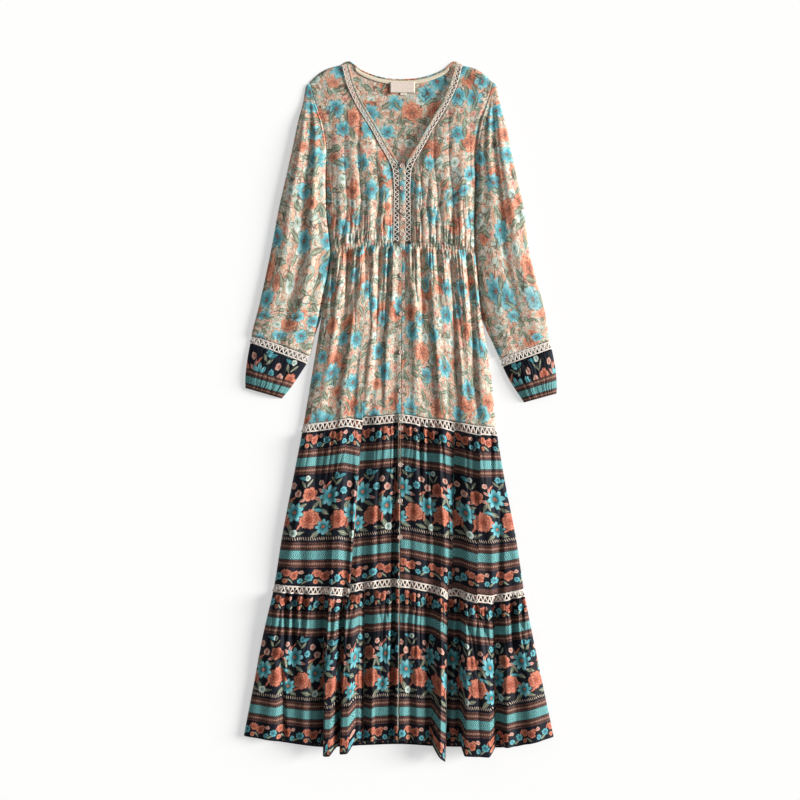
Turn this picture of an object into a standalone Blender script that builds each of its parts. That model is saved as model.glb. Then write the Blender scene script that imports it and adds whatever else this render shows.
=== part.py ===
"""A tiered maxi dress laid out flat on its back, front up, arms down beside it.

World frame: metres, +Z up, the surface that it lies on at Z = 0, the neck towards +Y, the hem
towards -Y, and +X to the right of someone looking down at the front. Tables are in millimetres.
"left" and "right" in names are as seen from above.

Every cloth panel is a grid laid over a smooth surface and given a wall. Across the skirt `u` runs
from -1 at the left side to 0 at the placket and 1 at the right side; down it `w` is 0 at the waist,
1 at the upper lace, 2 at the lower lace and 3 at the hem.
"""

from collections import namedtuple

import bmesh
import bpy
import numpy as np

MM = 0.001

WALL = 1.2  # cloth wall
GAP = 0.3  # between pieces that lie on each other
SEAM = 0.5  # between the edges of two sewn pieces
LACE_SEAM = 0.9  # between a tier and its lace, whose edges bend in and out of the folds
FRONT = WALL + GAP  # lowest height of the front's inner face, just above the back
ON_TOP = WALL + GAP + 0.2  # what lies on a panel stands this far off its inner face
CENTRE = 3.0  # X of the dress's middle line

LACE_BORDER = 3.2  # the lace's edge cords
LACE_BAND = 17.0  # its whole height in the skirt
SLEEVE_LACE_BAND, NECK_LACE_BAND = 16.0, 11.0
NECK_LACE_BORDER = 2.2
SLEEVE_LACE_REPEATS, NECK_LACE_REPEATS = 11, 37
HOLE_BASE = 0.36  # half the base of a gap, as a share of the repeat
HOLE_TIP = 1.9  # how far the tip of a gap stays from the far cord

TIER_LENGTH = 340.0  # about how far apart the waist, both laces and the hem are
BAND = LACE_BAND / 2 / TIER_LENGTH  # half a lace band, and a lace's seam, in steps of w
BAND_SEAM = LACE_SEAM / TIER_LENGTH
SLIT = 0.004  # half the opening under the placket, in u
SIDE_ROLL = 20.0  # width over which the front rises from the side seams
GATHER_RISE = 1.3  # height of the gathers where they are sewn
GATHER_REACH = 0.55  # share of a panel that they run down
BACK_LIFT = 20.0  # how much higher the back's laces lie than the front's
BACK_HEM_DROP = 9.0  # how much lower the back's hem shows
SLEEVE_BACK_LIFT = 13.0  # the same in the middle of a sleeve
SLEEVE_LIFT_FROM = 0.7  # place along the sleeve where its back starts to lie higher

SHOULDER_OUTSIDE, SHOULDER_INSIDE = 655.0, 687.0  # Y of a front's corners, at the armhole and neck
WAIST_OUTSIDE, WAIST_INSIDE = 315.0, 331.0
SHOULDER_BOW = 9.0  # how far the shoulder seam bows up
BACK_HALF = 183.0  # half width of the back's top edge
NECK_LACE_TOP, NECK_LACE_FOOT = 689.0, 336.0
NECK_BAND_FOOT = 488.5  # just above the placket
NECK_LIFT = 4.0  # how far the front's open edges lift off the back
ARMHOLE_REACH = 40.0  # how far from its seam a raised armhole holds the cloth up
SLEEVE_HEAD = 70.0  # about how wide the sleeve's upper part lies

PLACKET_HALF = 6.0  # half its width in the skirt
BODICE_PLACKET_HALF = 5.5  # between the two laces
PLACKET_LIFT = WALL + GAP + 2.1  # it clears the gathers under it
PLACKET_FOOT = 2.93  # where it ends, just above the hem
BODICE_PLACKET_TOP, BODICE_PLACKET_FOOT = 486.0, 332.0

TAPE_HALF, TAPE_WIDTH, TAPE_BELOW = 94.0, 8.0, 3.0  # below the back's neckline
LABEL_WIDTH, LABEL_HEIGHT, LABEL_TOP, LABEL_ASIDE = 50.0, 21.0, 655.0, 1.0
TAB_WIDTH, TAB_HEIGHT, TAB_TOP, TAB_ASIDE = 13.0, 9.0, 638.0, 3.0

BUTTON_RADIUS, BUTTON_HEIGHT = 5.0, 2.2
BUTTON_TILT = 1.5  # how much higher a level button stands on the sloping placket
BODICE_BUTTONS = (486, 442, 396, 350)  # Y of each
SKIRT_BUTTONS_FIRST, SKIRT_BUTTON_STEP, SKIRT_BUTTON_COUNT = 0.18, 0.22, 8

# The skirt's half widths and how far its front stands off the back, at each height.
Girth = namedtuple("Girth", "down left right loft")
SKIRT_GIRTH = (
    Girth(0.00, 140, 147, 2.0),
    Girth(0.33, 159, 159, 3.5),
    Girth(0.66, 178, 178, 3.5),
    Girth(1.00, 198, 191, 2.5),
    Girth(1.33, 218, 209, 4.0),
    Girth(1.66, 238, 230, 4.5),
    Girth(2.00, 255, 247, 4.0),
    Girth(2.33, 277, 266, 6.0),
    Girth(2.66, 295, 286, 7.0),
    Girth(3.00, 314, 307, 7.0),
)

# Y of the waist seam, the middles of both laces and the hem, across the skirt.
Level = namedtuple("Level", "across waist upper lower hem")
LEVELS = (
    Level(-1.00, 314, -40, -359, -654),
    Level(-0.75, 322, -34, -363, -664),
    Level(-0.50, 328, -26, -362, -671),
    Level(-0.25, 330, -23, -352, -666),
    Level(0.00, 330, -19, -348, -663),
    Level(0.25, 327, -27, -360, -668),
    Level(0.50, 325, -32, -370, -671),
    Level(0.75, 321, -41, -379, -673),
    Level(1.00, 315, -46, -368, -656),
)

# Folds that run down through the tiers: where they cross the upper lace and the hem, half width,
# share of it that is level on top, rise at the upper lace, lower lace and hem, sideways lean for
# each millimetre of rise, and how much lower the cloth hangs on the crest at the hem.
Fold = namedtuple("Fold", "upper hem width flat rise_upper rise_lower rise_hem lean drop")
LONG_FOLDS = (
    Fold(-0.95, -0.83, 28, 0.1, 2, 4, 8, 0.0, 0),
    Fold(-0.84, -0.62, 20, 0.0, 1, 4, 8, 0.3, 0),
    Fold(-0.58, -0.44, 15, 0.40, 3, 9, 22, -0.45, 20),
    Fold(-0.41, -0.34, 16, 0.40, 3, 8, 20, -0.35, 18),
    Fold(-0.26, -0.20, 13, 0.0, 2, 5, 9, 0.45, 2),
    Fold(0.01, 0.01, 18, 0.35, 3, 6, 10, -0.50, 0),
    Fold(0.16, 0.13, 24, 0.2, 2, 5, 9, 0.0, 0),
    Fold(0.42, 0.24, 15, 0.35, 3, 9, 23, 0.45, 26),
    Fold(0.76, 0.505, 38, 0.6, 3, 8, 20, -0.15, 20),
    Fold(0.98, 0.70, 18, 0.0, 0, 4, 9, -0.3, 2),
    Fold(1.10, 0.87, 26, 0.1, 0, 2, 8, 0.0, 0),
)

# Folds inside one tier, highest at its middle: where they start and end, half width, rise, lean.
TierFold = namedtuple("TierFold", "tier top foot width rise lean")
TIER_FOLDS = (
    TierFold(0, -0.80, -0.84, 15, 5, 0.4),
    TierFold(0, -0.52, -0.60, 17, 6, -0.4),
    TierFold(0, -0.30, -0.36, 13, 5, 0.5),
    TierFold(0, -0.13, -0.16, 11, 6, -0.8),
    TierFold(0, 0.18, 0.14, 16, 5, 0.5),
    TierFold(0, 0.40, 0.42, 14, 6, -0.5),
    TierFold(0, 0.62, 0.66, 14, 5, 0.5),
    TierFold(0, 0.84, 0.86, 13, 5, -0.4),
    TierFold(1, -0.86, -0.90, 15, 5, -0.5),
    TierFold(1, -0.44, -0.42, 18, 7, 0.6),
    TierFold(1, -0.16, -0.16, 12, 5, -0.3),
    TierFold(1, 0.26, 0.24, 9, 6, 0.4),
    TierFold(1, 0.35, 0.36, 9, 6, 0.3),
    TierFold(1, 0.46, 0.45, 12, 7, -0.4),
    TierFold(1, 0.80, 0.76, 16, 5, 0.4),
)

# X of the bodice's edges from the shoulders' ends down the armholes and sides.
Edge = namedtuple("Edge", "y left right")
BODY_EDGE = (
    Edge(655, -182, 185),
    Edge(634, -176, 179),
    Edge(606, -167, 170),
    Edge(570, -155, 158),
    Edge(522, -148, 151),
    Edge(458, -148, 151),
    Edge(386, -146, 149),
    Edge(326, -139, 149),
)

# How far the seam between a front and its sleeve stands up, down the armhole.
ArmholeRise = namedtuple("ArmholeRise", "y rise")
ARMHOLE_RISES = (
    ArmholeRise(655, 0.5),
    ArmholeRise(625, 2.8),
    ArmholeRise(585, 4.2),
    ArmholeRise(545, 3.8),
    ArmholeRise(505, 1.6),
    ArmholeRise(475, 0),
    ArmholeRise(430, 0),
)

# Half widths from the middle line to both edges of the neck lace and to the inner edge
# of the band inside it.
NeckEdge = namedtuple("NeckEdge", "y outer lace inner")
NECK_EDGE = (
    NeckEdge(691, 121, 112, 107),
    NeckEdge(646, 109, 99.5, 93),
    NeckEdge(612, 93, 84.5, 78),
    NeckEdge(588, 79, 70.5, 64),
    NeckEdge(556, 59, 51, 45),
    NeckEdge(528, 44, 36, 29.5),
    NeckEdge(504, 30, 21, 14),
    NeckEdge(482, 20, 7, 5.5),
    NeckEdge(458, 17, 6, 5),
    NeckEdge(400, 17, 6, 5),
    NeckEdge(336, 18, 6, 5),
)

# Top edge of the back, from the middle out: neckline, its point, and the shoulder seam.
BackTop = namedtuple("BackTop", "x y")
BACK_TOP = (
    BackTop(0, 661),
    BackTop(30, 663),
    BackTop(56, 669),
    BackTop(84, 681),
    BackTop(107, 697),
    BackTop(124, 689),
    BackTop(148, 682),
    BackTop(167, 671),
    BackTop(183, 656),
)

# Both edges of each sleeve from the shoulder to its lace, and how high it is filled.
Section = namedtuple("Section", "outer_x outer_y inner_x inner_y loft")
SLEEVE_LEFT = (
    Section(-189, 652, -181.5, 640, 2),
    Section(-196, 612, -169.5, 606, 5),
    Section(-206, 574, -157.8, 570, 8),
    Section(-217, 522, -150.6, 522, 10.5),
    Section(-230, 464, -150.4, 458, 12),
    Section(-244, 402, -148.4, 386, 12),
    Section(-262, 306, -141.5, 306, 12),
    Section(-283, 210, -159.0, 210, 12),
    Section(-292, 176, -169.0, 160, 11),
    Section(-299, 149, -181.0, 107, 10),
)
SLEEVE_RIGHT = (
    Section(192, 653, 184.5, 641, 2),
    Section(199, 616, 172.8, 608, 5),
    Section(211, 571, 160.8, 570, 8),
    Section(221, 522, 153.6, 522, 10),
    Section(233, 464, 153.4, 458, 11),
    Section(247, 402, 151.6, 386, 11),
    Section(260, 306, 153.5, 306, 11),
    Section(286, 210, 163.0, 210, 12),
    Section(294, 168, 177.0, 152, 11),
    Section(299, 138, 198.0, 103, 10),
)
SLEEVE_LACE_LEFT = (
    Section(-298.2, 147.6, -181.3, 105.6, 10),
    Section(-301, 133, -188, 91, 10),
)
SLEEVE_LACE_RIGHT = (
    Section(299.4, 136.6, 198.5, 101.6, 10),
    Section(303, 121, 205, 85, 10),
)
CUFF_LEFT = (
    Section(-301.3, 131.4, -188.7, 89.6, 10),
    Section(-307, 100, -204, 66, 12),
    Section(-311, 66, -222, 40, 11),
    Section(-311, 42, -238, 21, 6),
)
CUFF_RIGHT = (
    Section(303.4, 119.4, 205.6, 83.6, 10),
    Section(309, 90, 219, 57, 12),
    Section(313, 56, 235, 32, 11),
    Section(313, 31, 248, 13, 6),
)

# Folds along a sleeve: place across at its top and foot, half width and rise as shares of its
# width and loft.
SleeveFold = namedtuple("SleeveFold", "top foot width rise")
SLEEVE_FOLDS = (
    SleeveFold(0.30, 0.18, 0.15, 0.35),
    SleeveFold(0.55, 0.46, 0.13, -0.30),
    SleeveFold(0.70, 0.72, 0.14, 0.28),
)

# Folds in each front of the bodice: place across at the shoulder and waist, half width, rise.
BodiceFold = namedtuple("BodiceFold", "top foot width rise")
BODICE_FOLDS = (
    BodiceFold(0.20, 0.22, 14, 3.0),
    BodiceFold(0.46, 0.42, 12, 2.4),
    BodiceFold(0.66, 0.64, 12, 3.2),
    BodiceFold(0.86, 0.84, 10, 2.4),
)


# The skirt's tiers and lace bands, from w to w, with the segments of each front panel's grid.
Tier = namedtuple("Tier", "name look top foot columns rows")
TIERS = (
    Tier("skirt_upper", "floral_cloth", BAND_SEAM, 1 - BAND - BAND_SEAM, 26, 6),
    Tier("skirt_middle", "border_cloth", 1 + BAND + BAND_SEAM, 2 - BAND - BAND_SEAM, 30, 6),
    Tier("skirt_lower", "border_cloth", 2 + BAND + BAND_SEAM, 3, 42, 7),
)
LaceRow = namedtuple("LaceRow", "name middle repeats")
LACE_ROWS = (LaceRow("lace_upper", 1, 18), LaceRow("lace_lower", 2, 23))


def column(table, name):
    return np.array([getattr(row, name) for row in table], float)


def smooth(table, key, name, at):
    """The value of the named column where the key column is `at`, on a smooth curve."""
    keys, values = column(table, key), column(table, name)
    if keys[0] > keys[-1]:
        keys, values = keys[::-1], values[::-1]
    slopes = np.gradient(values, keys)
    at = np.clip(np.asarray(at, float), keys[0], keys[-1])
    i = np.clip(np.searchsorted(keys, at) - 1, 0, len(keys) - 2)
    span = keys[i + 1] - keys[i]
    t = (at - keys[i]) / span
    near = (1 + 2 * t) * (1 - t) ** 2 * values[i] + t * (1 - t) ** 2 * span * slopes[i]
    far = t * t * (3 - 2 * t) * values[i + 1] + t * t * (t - 1) * span * slopes[i + 1]
    return near + far


def bump(distance, flat=0.0):
    """1 at the middle, level for the `flat` share of the way, and a smooth fall to 0 at 1."""
    fall = np.clip((np.abs(distance) - flat) / (1 - flat), 0, 1)
    return 0.5 + 0.5 * np.cos(np.pi * fall)


def rolled(distance, reach):
    """0 at an edge and 1 from `reach` inwards, round like cloth that is turned over."""
    inwards = 1 - np.clip(distance / reach, 0, 1)
    return np.sqrt(np.clip(1 - inwards**2, 0, 1))


def skirt_half(u, w):
    left = smooth(SKIRT_GIRTH, "down", "left", w)
    right = smooth(SKIRT_GIRTH, "down", "right", w)
    return np.where(u < 0, left, right)


def skirt_level(u, w):
    """Y of the flat skirt, before its folds."""
    lines = [smooth(LEVELS, "across", name, u) for name in ("waist", "upper", "lower", "hem")]
    tier = np.clip(np.floor(w), 0, 2).astype(int)
    top = np.choose(tier, lines[:3])
    foot = np.choose(tier, lines[1:])
    return top + (foot - top) * (w - tier)


def long_fold_rise(fold, w):
    rises = (0.0, fold.rise_upper, fold.rise_lower, fold.rise_hem)
    return np.interp(w, (0, 1, 2, 3), rises)


def skirt(u, w):
    """The inner face of the skirt's front."""
    u, w = np.broadcast_arrays(np.asarray(u, float), np.asarray(w, float))
    half = skirt_half(u, w)
    flat_x = u * half
    roll = rolled((1 - np.abs(u)) * half, SIDE_ROLL)
    x, y = flat_x.copy(), skirt_level(u, w)
    z = smooth(SKIRT_GIRTH, "down", "loft", w) * roll
    for fold in LONG_FOLDS:
        middle = (fold.upper + (fold.hem - fold.upper) * (w - 1) / 2) * half
        shape = bump((flat_x - middle) / fold.width, fold.flat) * roll
        rise = long_fold_rise(fold, w) * shape
        x = x + fold.lean * rise
        y = y - fold.drop * shape * np.clip((w - 1.6) / 1.4, 0, 1) ** 2
        z = z + rise
    for fold in TIER_FOLDS:
        v = np.clip(w - fold.tier, 0, 1)
        middle = (fold.top + (fold.foot - fold.top) * v) * half
        rise = fold.rise * np.sin(np.pi * v) * bump((flat_x - middle) / fold.width) * roll
        x = x + fold.lean * rise
        z = z + rise
    return x + CENTRE * (1 - w / 3), y, FRONT + z


def waist_y(x):
    """Y of the waist seam under a point of the bodice."""
    u = (x - CENTRE) / skirt_half(x - CENTRE, 0.0)
    return smooth(LEVELS, "across", "waist", u)


def skirt_back(u, w):
    u, w = np.broadcast_arrays(np.asarray(u, float), np.asarray(w, float))
    lift = np.interp(w, (0, 1, 2, 3), (0, BACK_LIFT, BACK_LIFT, 0)) * (1 - u**6)
    drop = BACK_HEM_DROP * np.clip(w - 2, 0, 1) * (1 - u**2)
    y = skirt_level(u, w) + lift - drop
    return u * skirt_half(u, w) + CENTRE * (1 - w / 3), y, 0.0 * u


def body_edge(y, side):
    return smooth(BODY_EDGE, "y", "left" if side < 0 else "right", y)


def armhole_rise(y):
    return smooth(ARMHOLE_RISES, "y", "rise", y)


def neck_edge(y, side, name):
    return CENTRE + side * smooth(NECK_EDGE, "y", name, y)


def neck_lift(v):
    """How far the open edges of the fronts lift off the back, from shoulder to waist."""
    return NECK_LIFT * np.sin(np.pi * np.clip(v, 0, 1)) ** 0.7


def bodice_front(u, v, side):
    """One front's inner face: `u` from the armhole to the lace, `v` from shoulder to waist."""
    u, v = np.broadcast_arrays(np.asarray(u, float), np.asarray(v, float))
    outside_y = SHOULDER_OUTSIDE + (WAIST_OUTSIDE - SHOULDER_OUTSIDE) * v
    inside_y = SHOULDER_INSIDE + (WAIST_INSIDE - SHOULDER_INSIDE) * v
    outside_x = body_edge(outside_y, side) - side * SEAM
    inside_x = neck_edge(inside_y, side, "outer") - side * SEAM
    x = outside_x + (inside_x - outside_x) * u
    shoulder = SHOULDER_OUTSIDE + (SHOULDER_INSIDE - SHOULDER_OUTSIDE) * u
    shoulder = shoulder + SHOULDER_BOW * np.sin(np.pi * u)
    y = shoulder + (waist_y(x) + SEAM - shoulder) * v
    width = np.abs(inside_x - outside_x)
    armhole, opening = rolled(u * width, 30), rolled((1 - u) * width, 30)
    swell = 6.0 * armhole * opening * np.sin(np.pi * v) ** 0.7
    swell = np.maximum(swell, armhole_rise(y) * bump(u * width / ARMHOLE_REACH))
    z = FRONT + 1.0 * u + np.maximum(swell, neck_lift(v) * armhole) + 1.5 * v
    for fold in BODICE_FOLDS:
        middle = (fold.top + (fold.foot - fold.top) * v) * width
        z = z + fold.rise * v**1.5 * bump((u * width - middle) / fold.width)
    return x, y, z


def bodice_back(u, v):
    u, v = np.broadcast_arrays(np.asarray(u, float), np.asarray(v, float))
    top = smooth(BACK_TOP, "x", "y", np.abs(u) * BACK_HALF)
    y = top + (WAIST_OUTSIDE - top) * v
    side = np.where(u < 0, -1, 1)
    edge = np.where(u < 0, body_edge(y, -1), body_edge(y, 1))
    middle = 0.5 * (body_edge(y, -1) + body_edge(y, 1))
    x = middle + np.abs(u) * (edge - middle - side * SEAM)
    return x, top + (waist_y(x) + SEAM - top) * v, 0.0 * u


def tube_side(sections, u, v, upper, back_lift=0.0):
    """One layer of a flattened sleeve: `u` from its outer to its inner edge, `v` down it."""
    u, v = np.broadcast_arrays(np.asarray(u, float), np.asarray(v, float))
    place = np.linspace(0, 1, len(sections))
    station = namedtuple("Station", ("at",) + Section._fields)
    rows = [station(at, *row) for at, row in zip(place, sections)]
    edges = [smooth(rows, "at", name, v) for name in Section._fields]
    outer_x, outer_y, inner_x, inner_y, loft = edges
    x = outer_x + (inner_x - outer_x) * u
    y = outer_y + (inner_y - outer_y) * u
    swell = np.sin(np.pi * np.clip(u, 0, 1))
    if not upper:
        return x, y + back_lift * swell, 0.0 * u
    return x, y, FRONT + loft * swell**0.5


def sleeve(sections, u, v, upper):
    """The sleeve above its lace. Its back lies a little higher there than its front."""
    lift = SLEEVE_BACK_LIFT * np.clip((v - SLEEVE_LIFT_FROM) / (1 - SLEEVE_LIFT_FROM), 0, 1)
    x, y, z = tube_side(sections, u, v, upper, lift)
    if upper:
        loft = (z - FRONT) * np.sin(np.pi * np.clip(v, 0, 1) ** 0.8) ** 0.5
        for fold in SLEEVE_FOLDS:
            middle = fold.top + (fold.foot - fold.top) * v
            z = z + fold.rise * loft * bump((u - middle) / fold.width)
        seam = armhole_rise(y) * bump((1 - u) * SLEEVE_HEAD / ARMHOLE_REACH)
        z = np.maximum(z, FRONT + seam)
    return x, y, z


def sleeve_lace(sections, u, v, upper):
    return tube_side(sections, u, v, upper, SLEEVE_BACK_LIFT)


def cuff(sections, u, v, upper):
    return tube_side(sections, u, v, upper, SLEEVE_BACK_LIFT * (1 - v))


def neck_height(y):
    """Height of the neck lace and of the band beside it."""
    a = (NECK_LACE_TOP - y) / (NECK_LACE_TOP - NECK_LACE_FOOT)
    return FRONT + 1.6 + 1.5 * a + neck_lift(a) + ON_TOP


def neck_lace(side, a, b):
    """The neck lace, its outer edge on the front: `a` from shoulder to waist, `b` outwards."""
    a, b = np.broadcast_arrays(np.asarray(a, float), np.asarray(b, float))
    y = NECK_LACE_TOP + (NECK_LACE_FOOT - NECK_LACE_TOP) * a
    inner, outer = neck_edge(y, side, "lace"), neck_edge(y, side, "outer")
    return inner + (outer - inner) * b, y, neck_height(y)


def neck_band(side, a, b):
    """The strip inside the neck lace: `a` from shoulder to placket, `b` outwards."""
    a, b = np.broadcast_arrays(np.asarray(a, float), np.asarray(b, float))
    y = NECK_LACE_TOP + (NECK_BAND_FOOT - NECK_LACE_TOP) * a
    inner = neck_edge(y, side, "inner")
    outer = neck_edge(y, side, "lace") - side * SEAM
    return inner + (outer - inner) * b, y, neck_height(y)


def even_places(points, count):
    """Places from 0 to 1 that part a line, given as dense points, into even lengths."""
    steps = np.sqrt(sum(np.diff(axis) ** 2 for axis in points))
    length = np.concatenate([[0], np.cumsum(steps)])
    dense = np.linspace(0, 1, len(length))
    return np.interp(np.linspace(0, length[-1], count + 1), length, dense)


def principled(name, colour, roughness):
    material = bpy.data.materials.get(name)
    if material is None:
        material = bpy.data.materials.new(name)
        material.use_nodes = True
        shader = material.node_tree.nodes["Principled BSDF"]
        shader.inputs["Base Color"].default_value = (*colour, 1)
        shader.inputs["Roughness"].default_value = roughness
        shader.inputs["Metallic"].default_value = 0.0
    return material


LOOKS = {
    "floral_cloth": ((0.62, 0.50, 0.41), 0.75),
    "border_cloth": ((0.05, 0.07, 0.10), 0.75),
    "lace": ((0.78, 0.69, 0.58), 0.85),
    "tape": ((0.76, 0.68, 0.55), 0.85),
    "label": ((0.82, 0.72, 0.62), 0.80),
    "button": ((0.80, 0.62, 0.56), 0.35),
}


def add_object(name, mesh_data, look, collection):
    obj = bpy.data.objects.new(name, mesh_data)
    collection.objects.link(obj)
    obj.data.materials.append(principled(look, *LOOKS[look]))
    return obj


def give_wall(obj, thickness=WALL):
    wall = obj.modifiers.new("wall", "SOLIDIFY")
    wall.thickness = thickness * MM
    wall.offset = 1.0
    wall.use_quality_normals = True


def cloth(name, look, collection, surface, across, down, gathers=()):
    """A panel: a grid laid over surface(u, v) at the given places, raised in turn where gathered."""
    grid = bmesh.new()
    columns, rows = len(across) - 1, len(down) - 1
    bmesh.ops.create_grid(grid, x_segments=columns, y_segments=rows, size=1)
    for vertex in grid.verts:
        i = round((vertex.co.x + 1) / 2 * columns)
        j = round((1 - vertex.co.y) / 2 * rows)
        x, y, z = surface(across[i], down[j])
        rise = gathers[j] if len(gathers) else 0.0
        vertex.co = (float(x) * MM, float(y) * MM, (float(z) + (i % 2) * rise) * MM)
    data = bpy.data.meshes.new(name)
    grid.to_mesh(data)
    grid.free()
    data.shade_smooth()
    obj = add_object(name, data, look, collection)
    give_wall(obj)
    return obj


def gather_rises(rows, at_top, at_foot=0.0):
    """Height of the gathers at each row, strongest where they are sewn."""
    places = np.linspace(0, 1, rows + 1)
    top = at_top * np.clip(1 - places / GATHER_REACH, 0, 1) ** 1.5
    foot = at_foot * np.clip(1 - (1 - places) / GATHER_REACH, 0, 1) ** 1.5
    return top + foot


def lattice_faces(repeats, double_row):
    """Points (along, level, offset) and faces of a zigzag between two cords.

    A gap hangs from the top cord in each repeat. In a double row another stands on the foot cord
    between each two of those. The tip of a gap stays HOLE_TIP off the far cord.
    """
    points, faces = [], []

    def point(along, level, offset=0.0):
        points.append((along / repeats, level, offset))
        return len(points) - 1

    top = [point(k, "top") for k in range(repeats + 1)]
    foot = [point(k, "foot") for k in range(repeats + 1)]
    start_low, start_high = point(0, "low"), point(0, "high")
    end_low, end_high = point(repeats, "low"), point(repeats, "high")
    left = [point(k + 0.5 - HOLE_BASE, "high") for k in range(repeats)]
    right = [point(k + 0.5 + HOLE_BASE, "high") for k in range(repeats)]
    tip = [point(k + 0.5, "low", HOLE_TIP) for k in range(repeats)]
    high = [start_high, *right]
    for k in range(repeats):
        faces.append((left[k], right[k], top[k + 1], top[k]))
        faces.append((high[k], left[k], top[k]))
    faces.append((high[-1], end_high, top[-1]))
    faces.append((tip[-1], end_low, end_high, high[-1]))
    if not double_row:
        low = [start_low, *tip]
        for k in range(repeats):
            faces.append((low[k], tip[k], left[k], high[k]))
            faces.append((foot[k], foot[k + 1], tip[k], low[k]))
        faces.append((low[-1], foot[-1], end_low))
        return points, faces
    rise = [point(k - HOLE_BASE, "low") if k else start_low for k in range(repeats)]
    peak = [point(k, "high", -HOLE_TIP) if k else start_high for k in range(repeats)]
    fall = [point(k + HOLE_BASE, "low") for k in range(repeats)]
    faces.append((start_low, fall[0], tip[0], left[0], start_high))
    faces.append((foot[0], foot[1], fall[0], start_low))
    for k in range(1, repeats):
        faces.append((high[k], peak[k], left[k]))
        faces.append((peak[k], fall[k], tip[k], left[k]))
        faces.append((tip[k - 1], rise[k], peak[k], high[k]))
        faces.append((fall[k - 1], rise[k], tip[k - 1]))
        faces.append((foot[k], rise[k], fall[k - 1]))
        faces.append((foot[k], foot[k + 1], fall[k], rise[k]))
    faces.append((fall[-1], end_low, tip[-1]))
    faces.append((fall[-1], foot[-1], end_low))
    return points, faces


def lace(name, collection, surface, repeats, height, double_row, border=LACE_BORDER):
    """A lace band whose gaps are cut through, laid over surface(along, up)."""
    levels = {
        "foot": 0.0,
        "low": border / height,
        "high": 1 - border / height,
        "top": 1.0,
    }
    points, faces = lattice_faces(repeats, double_row)
    band = bmesh.new()
    verts = []
    for along, level, offset in points:
        x, y, z = surface(along, levels[level] + offset / height)
        verts.append(band.verts.new((float(x) * MM, float(y) * MM, float(z) * MM)))
    for face in faces:
        band.faces.new([verts[i] for i in face])
    band.normal_update()
    if sum(face.normal.z for face in band.faces) < 0:
        bmesh.ops.reverse_faces(band, faces=band.faces)
    data = bpy.data.meshes.new(name)
    band.to_mesh(data)
    band.free()
    obj = add_object(name, data, "lace", collection)
    give_wall(obj)
    return obj


def make_skirt(collection):
    """Three tiers in two fronts and a back, the lace bands between them."""
    for side, side_name in ((-1, "left"), (1, "right")):
        ends = (-1, -SLIT) if side < 0 else (SLIT, 1)

        def at(place):
            return ends[0] + (ends[1] - ends[0]) * place

        dense = at(np.linspace(0, 1, 1500))
        for tier in TIERS:
            across = at(even_places(skirt(dense, tier.foot), tier.columns))
            down = np.linspace(tier.top, tier.foot, tier.rows + 1)
            cloth(f"{tier.name}_{side_name}", tier.look, collection, skirt, across, down,
                  gather_rises(tier.rows, GATHER_RISE))
        for row in LACE_ROWS:
            places = even_places(skirt(dense, row.middle), 400)

            def laid(along, up, middle=row.middle, places=places):
                u = at(np.interp(along, np.linspace(0, 1, len(places)), places))
                return skirt(u, middle + BAND * (1 - 2 * up))

            lace(f"{row.name}_{side_name}", collection, laid, row.repeats, LACE_BAND, True)
    across = np.linspace(-1, 1, 15)
    for tier in TIERS:
        down = np.linspace(tier.top, tier.foot, tier.rows // 2 + 1)
        cloth(f"{tier.name}_back", tier.look, collection, skirt_back, across, down)
    for row in LACE_ROWS:
        down = (row.middle - BAND, row.middle + BAND)
        cloth(f"{row.name}_back", "lace", collection, skirt_back, across, down)


def make_bodice(collection):
    for side, side_name in ((-1, "left"), (1, "right")):
        def front(u, v, side=side):
            return bodice_front(u if side < 0 else 1 - u, v, side)

        rows = 9
        cloth(f"bodice_front_{side_name}", "floral_cloth", collection, front,
              np.linspace(0, 1, 23), np.linspace(0, 1, rows + 1),
              gather_rises(rows, 0.0, GATHER_RISE))

        def trim(a, b, side=side):
            return neck_lace(side, a, b)

        def band(a, b, side=side):
            return neck_band(side, b, a if side < 0 else 1 - a)

        lace(f"neck_lace_{side_name}", collection, trim, NECK_LACE_REPEATS, NECK_LACE_BAND, False,
             NECK_LACE_BORDER)
        cloth(f"neck_band_{side_name}", "floral_cloth", collection, band, (0, 1),
              np.linspace(0, 1, 10))
    cloth("bodice_back", "floral_cloth", collection, bodice_back, np.linspace(-1, 1, 21),
          np.linspace(0, 1, 9))


def make_sleeves(collection):
    arms = (
        ("left", -1, SLEEVE_LEFT, SLEEVE_LACE_LEFT, CUFF_LEFT),
        ("right", 1, SLEEVE_RIGHT, SLEEVE_LACE_RIGHT, CUFF_RIGHT),
    )
    for side_name, side, arm, lace_rows, cuff_rows in arms:
        for layer, upper in (("front", True), ("back", False)):
            def turned(u):
                return u if side < 0 else 1 - u

            def arm_surface(u, v):
                return sleeve(arm, turned(u), v, upper)

            def lace_surface(along, up):
                return sleeve_lace(lace_rows, turned(along), 1 - up, upper)

            def cuff_surface(u, v):
                return cuff(cuff_rows, turned(u), v, upper)

            columns = 12 if upper else 4
            cloth(f"sleeve_{side_name}_{layer}", "floral_cloth", collection, arm_surface,
                  np.linspace(0, 1, columns + 1), np.linspace(0, 1, 10))
            if upper:
                lace(f"sleeve_lace_{side_name}_{layer}", collection, lace_surface,
                     SLEEVE_LACE_REPEATS, SLEEVE_LACE_BAND, True)
            else:
                cloth(f"sleeve_lace_{side_name}_{layer}", "lace", collection,
                      lambda u, v: lace_surface(u, 1 - v), np.linspace(0, 1, 5), (0, 1))
            columns = 16 if upper else 4
            cloth(f"cuff_{side_name}_{layer}", "border_cloth", collection, cuff_surface,
                  np.linspace(0, 1, columns + 1), np.linspace(0, 1, 5),
                  gather_rises(4, GATHER_RISE, 1.5 * GATHER_RISE) if upper else ())


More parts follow.
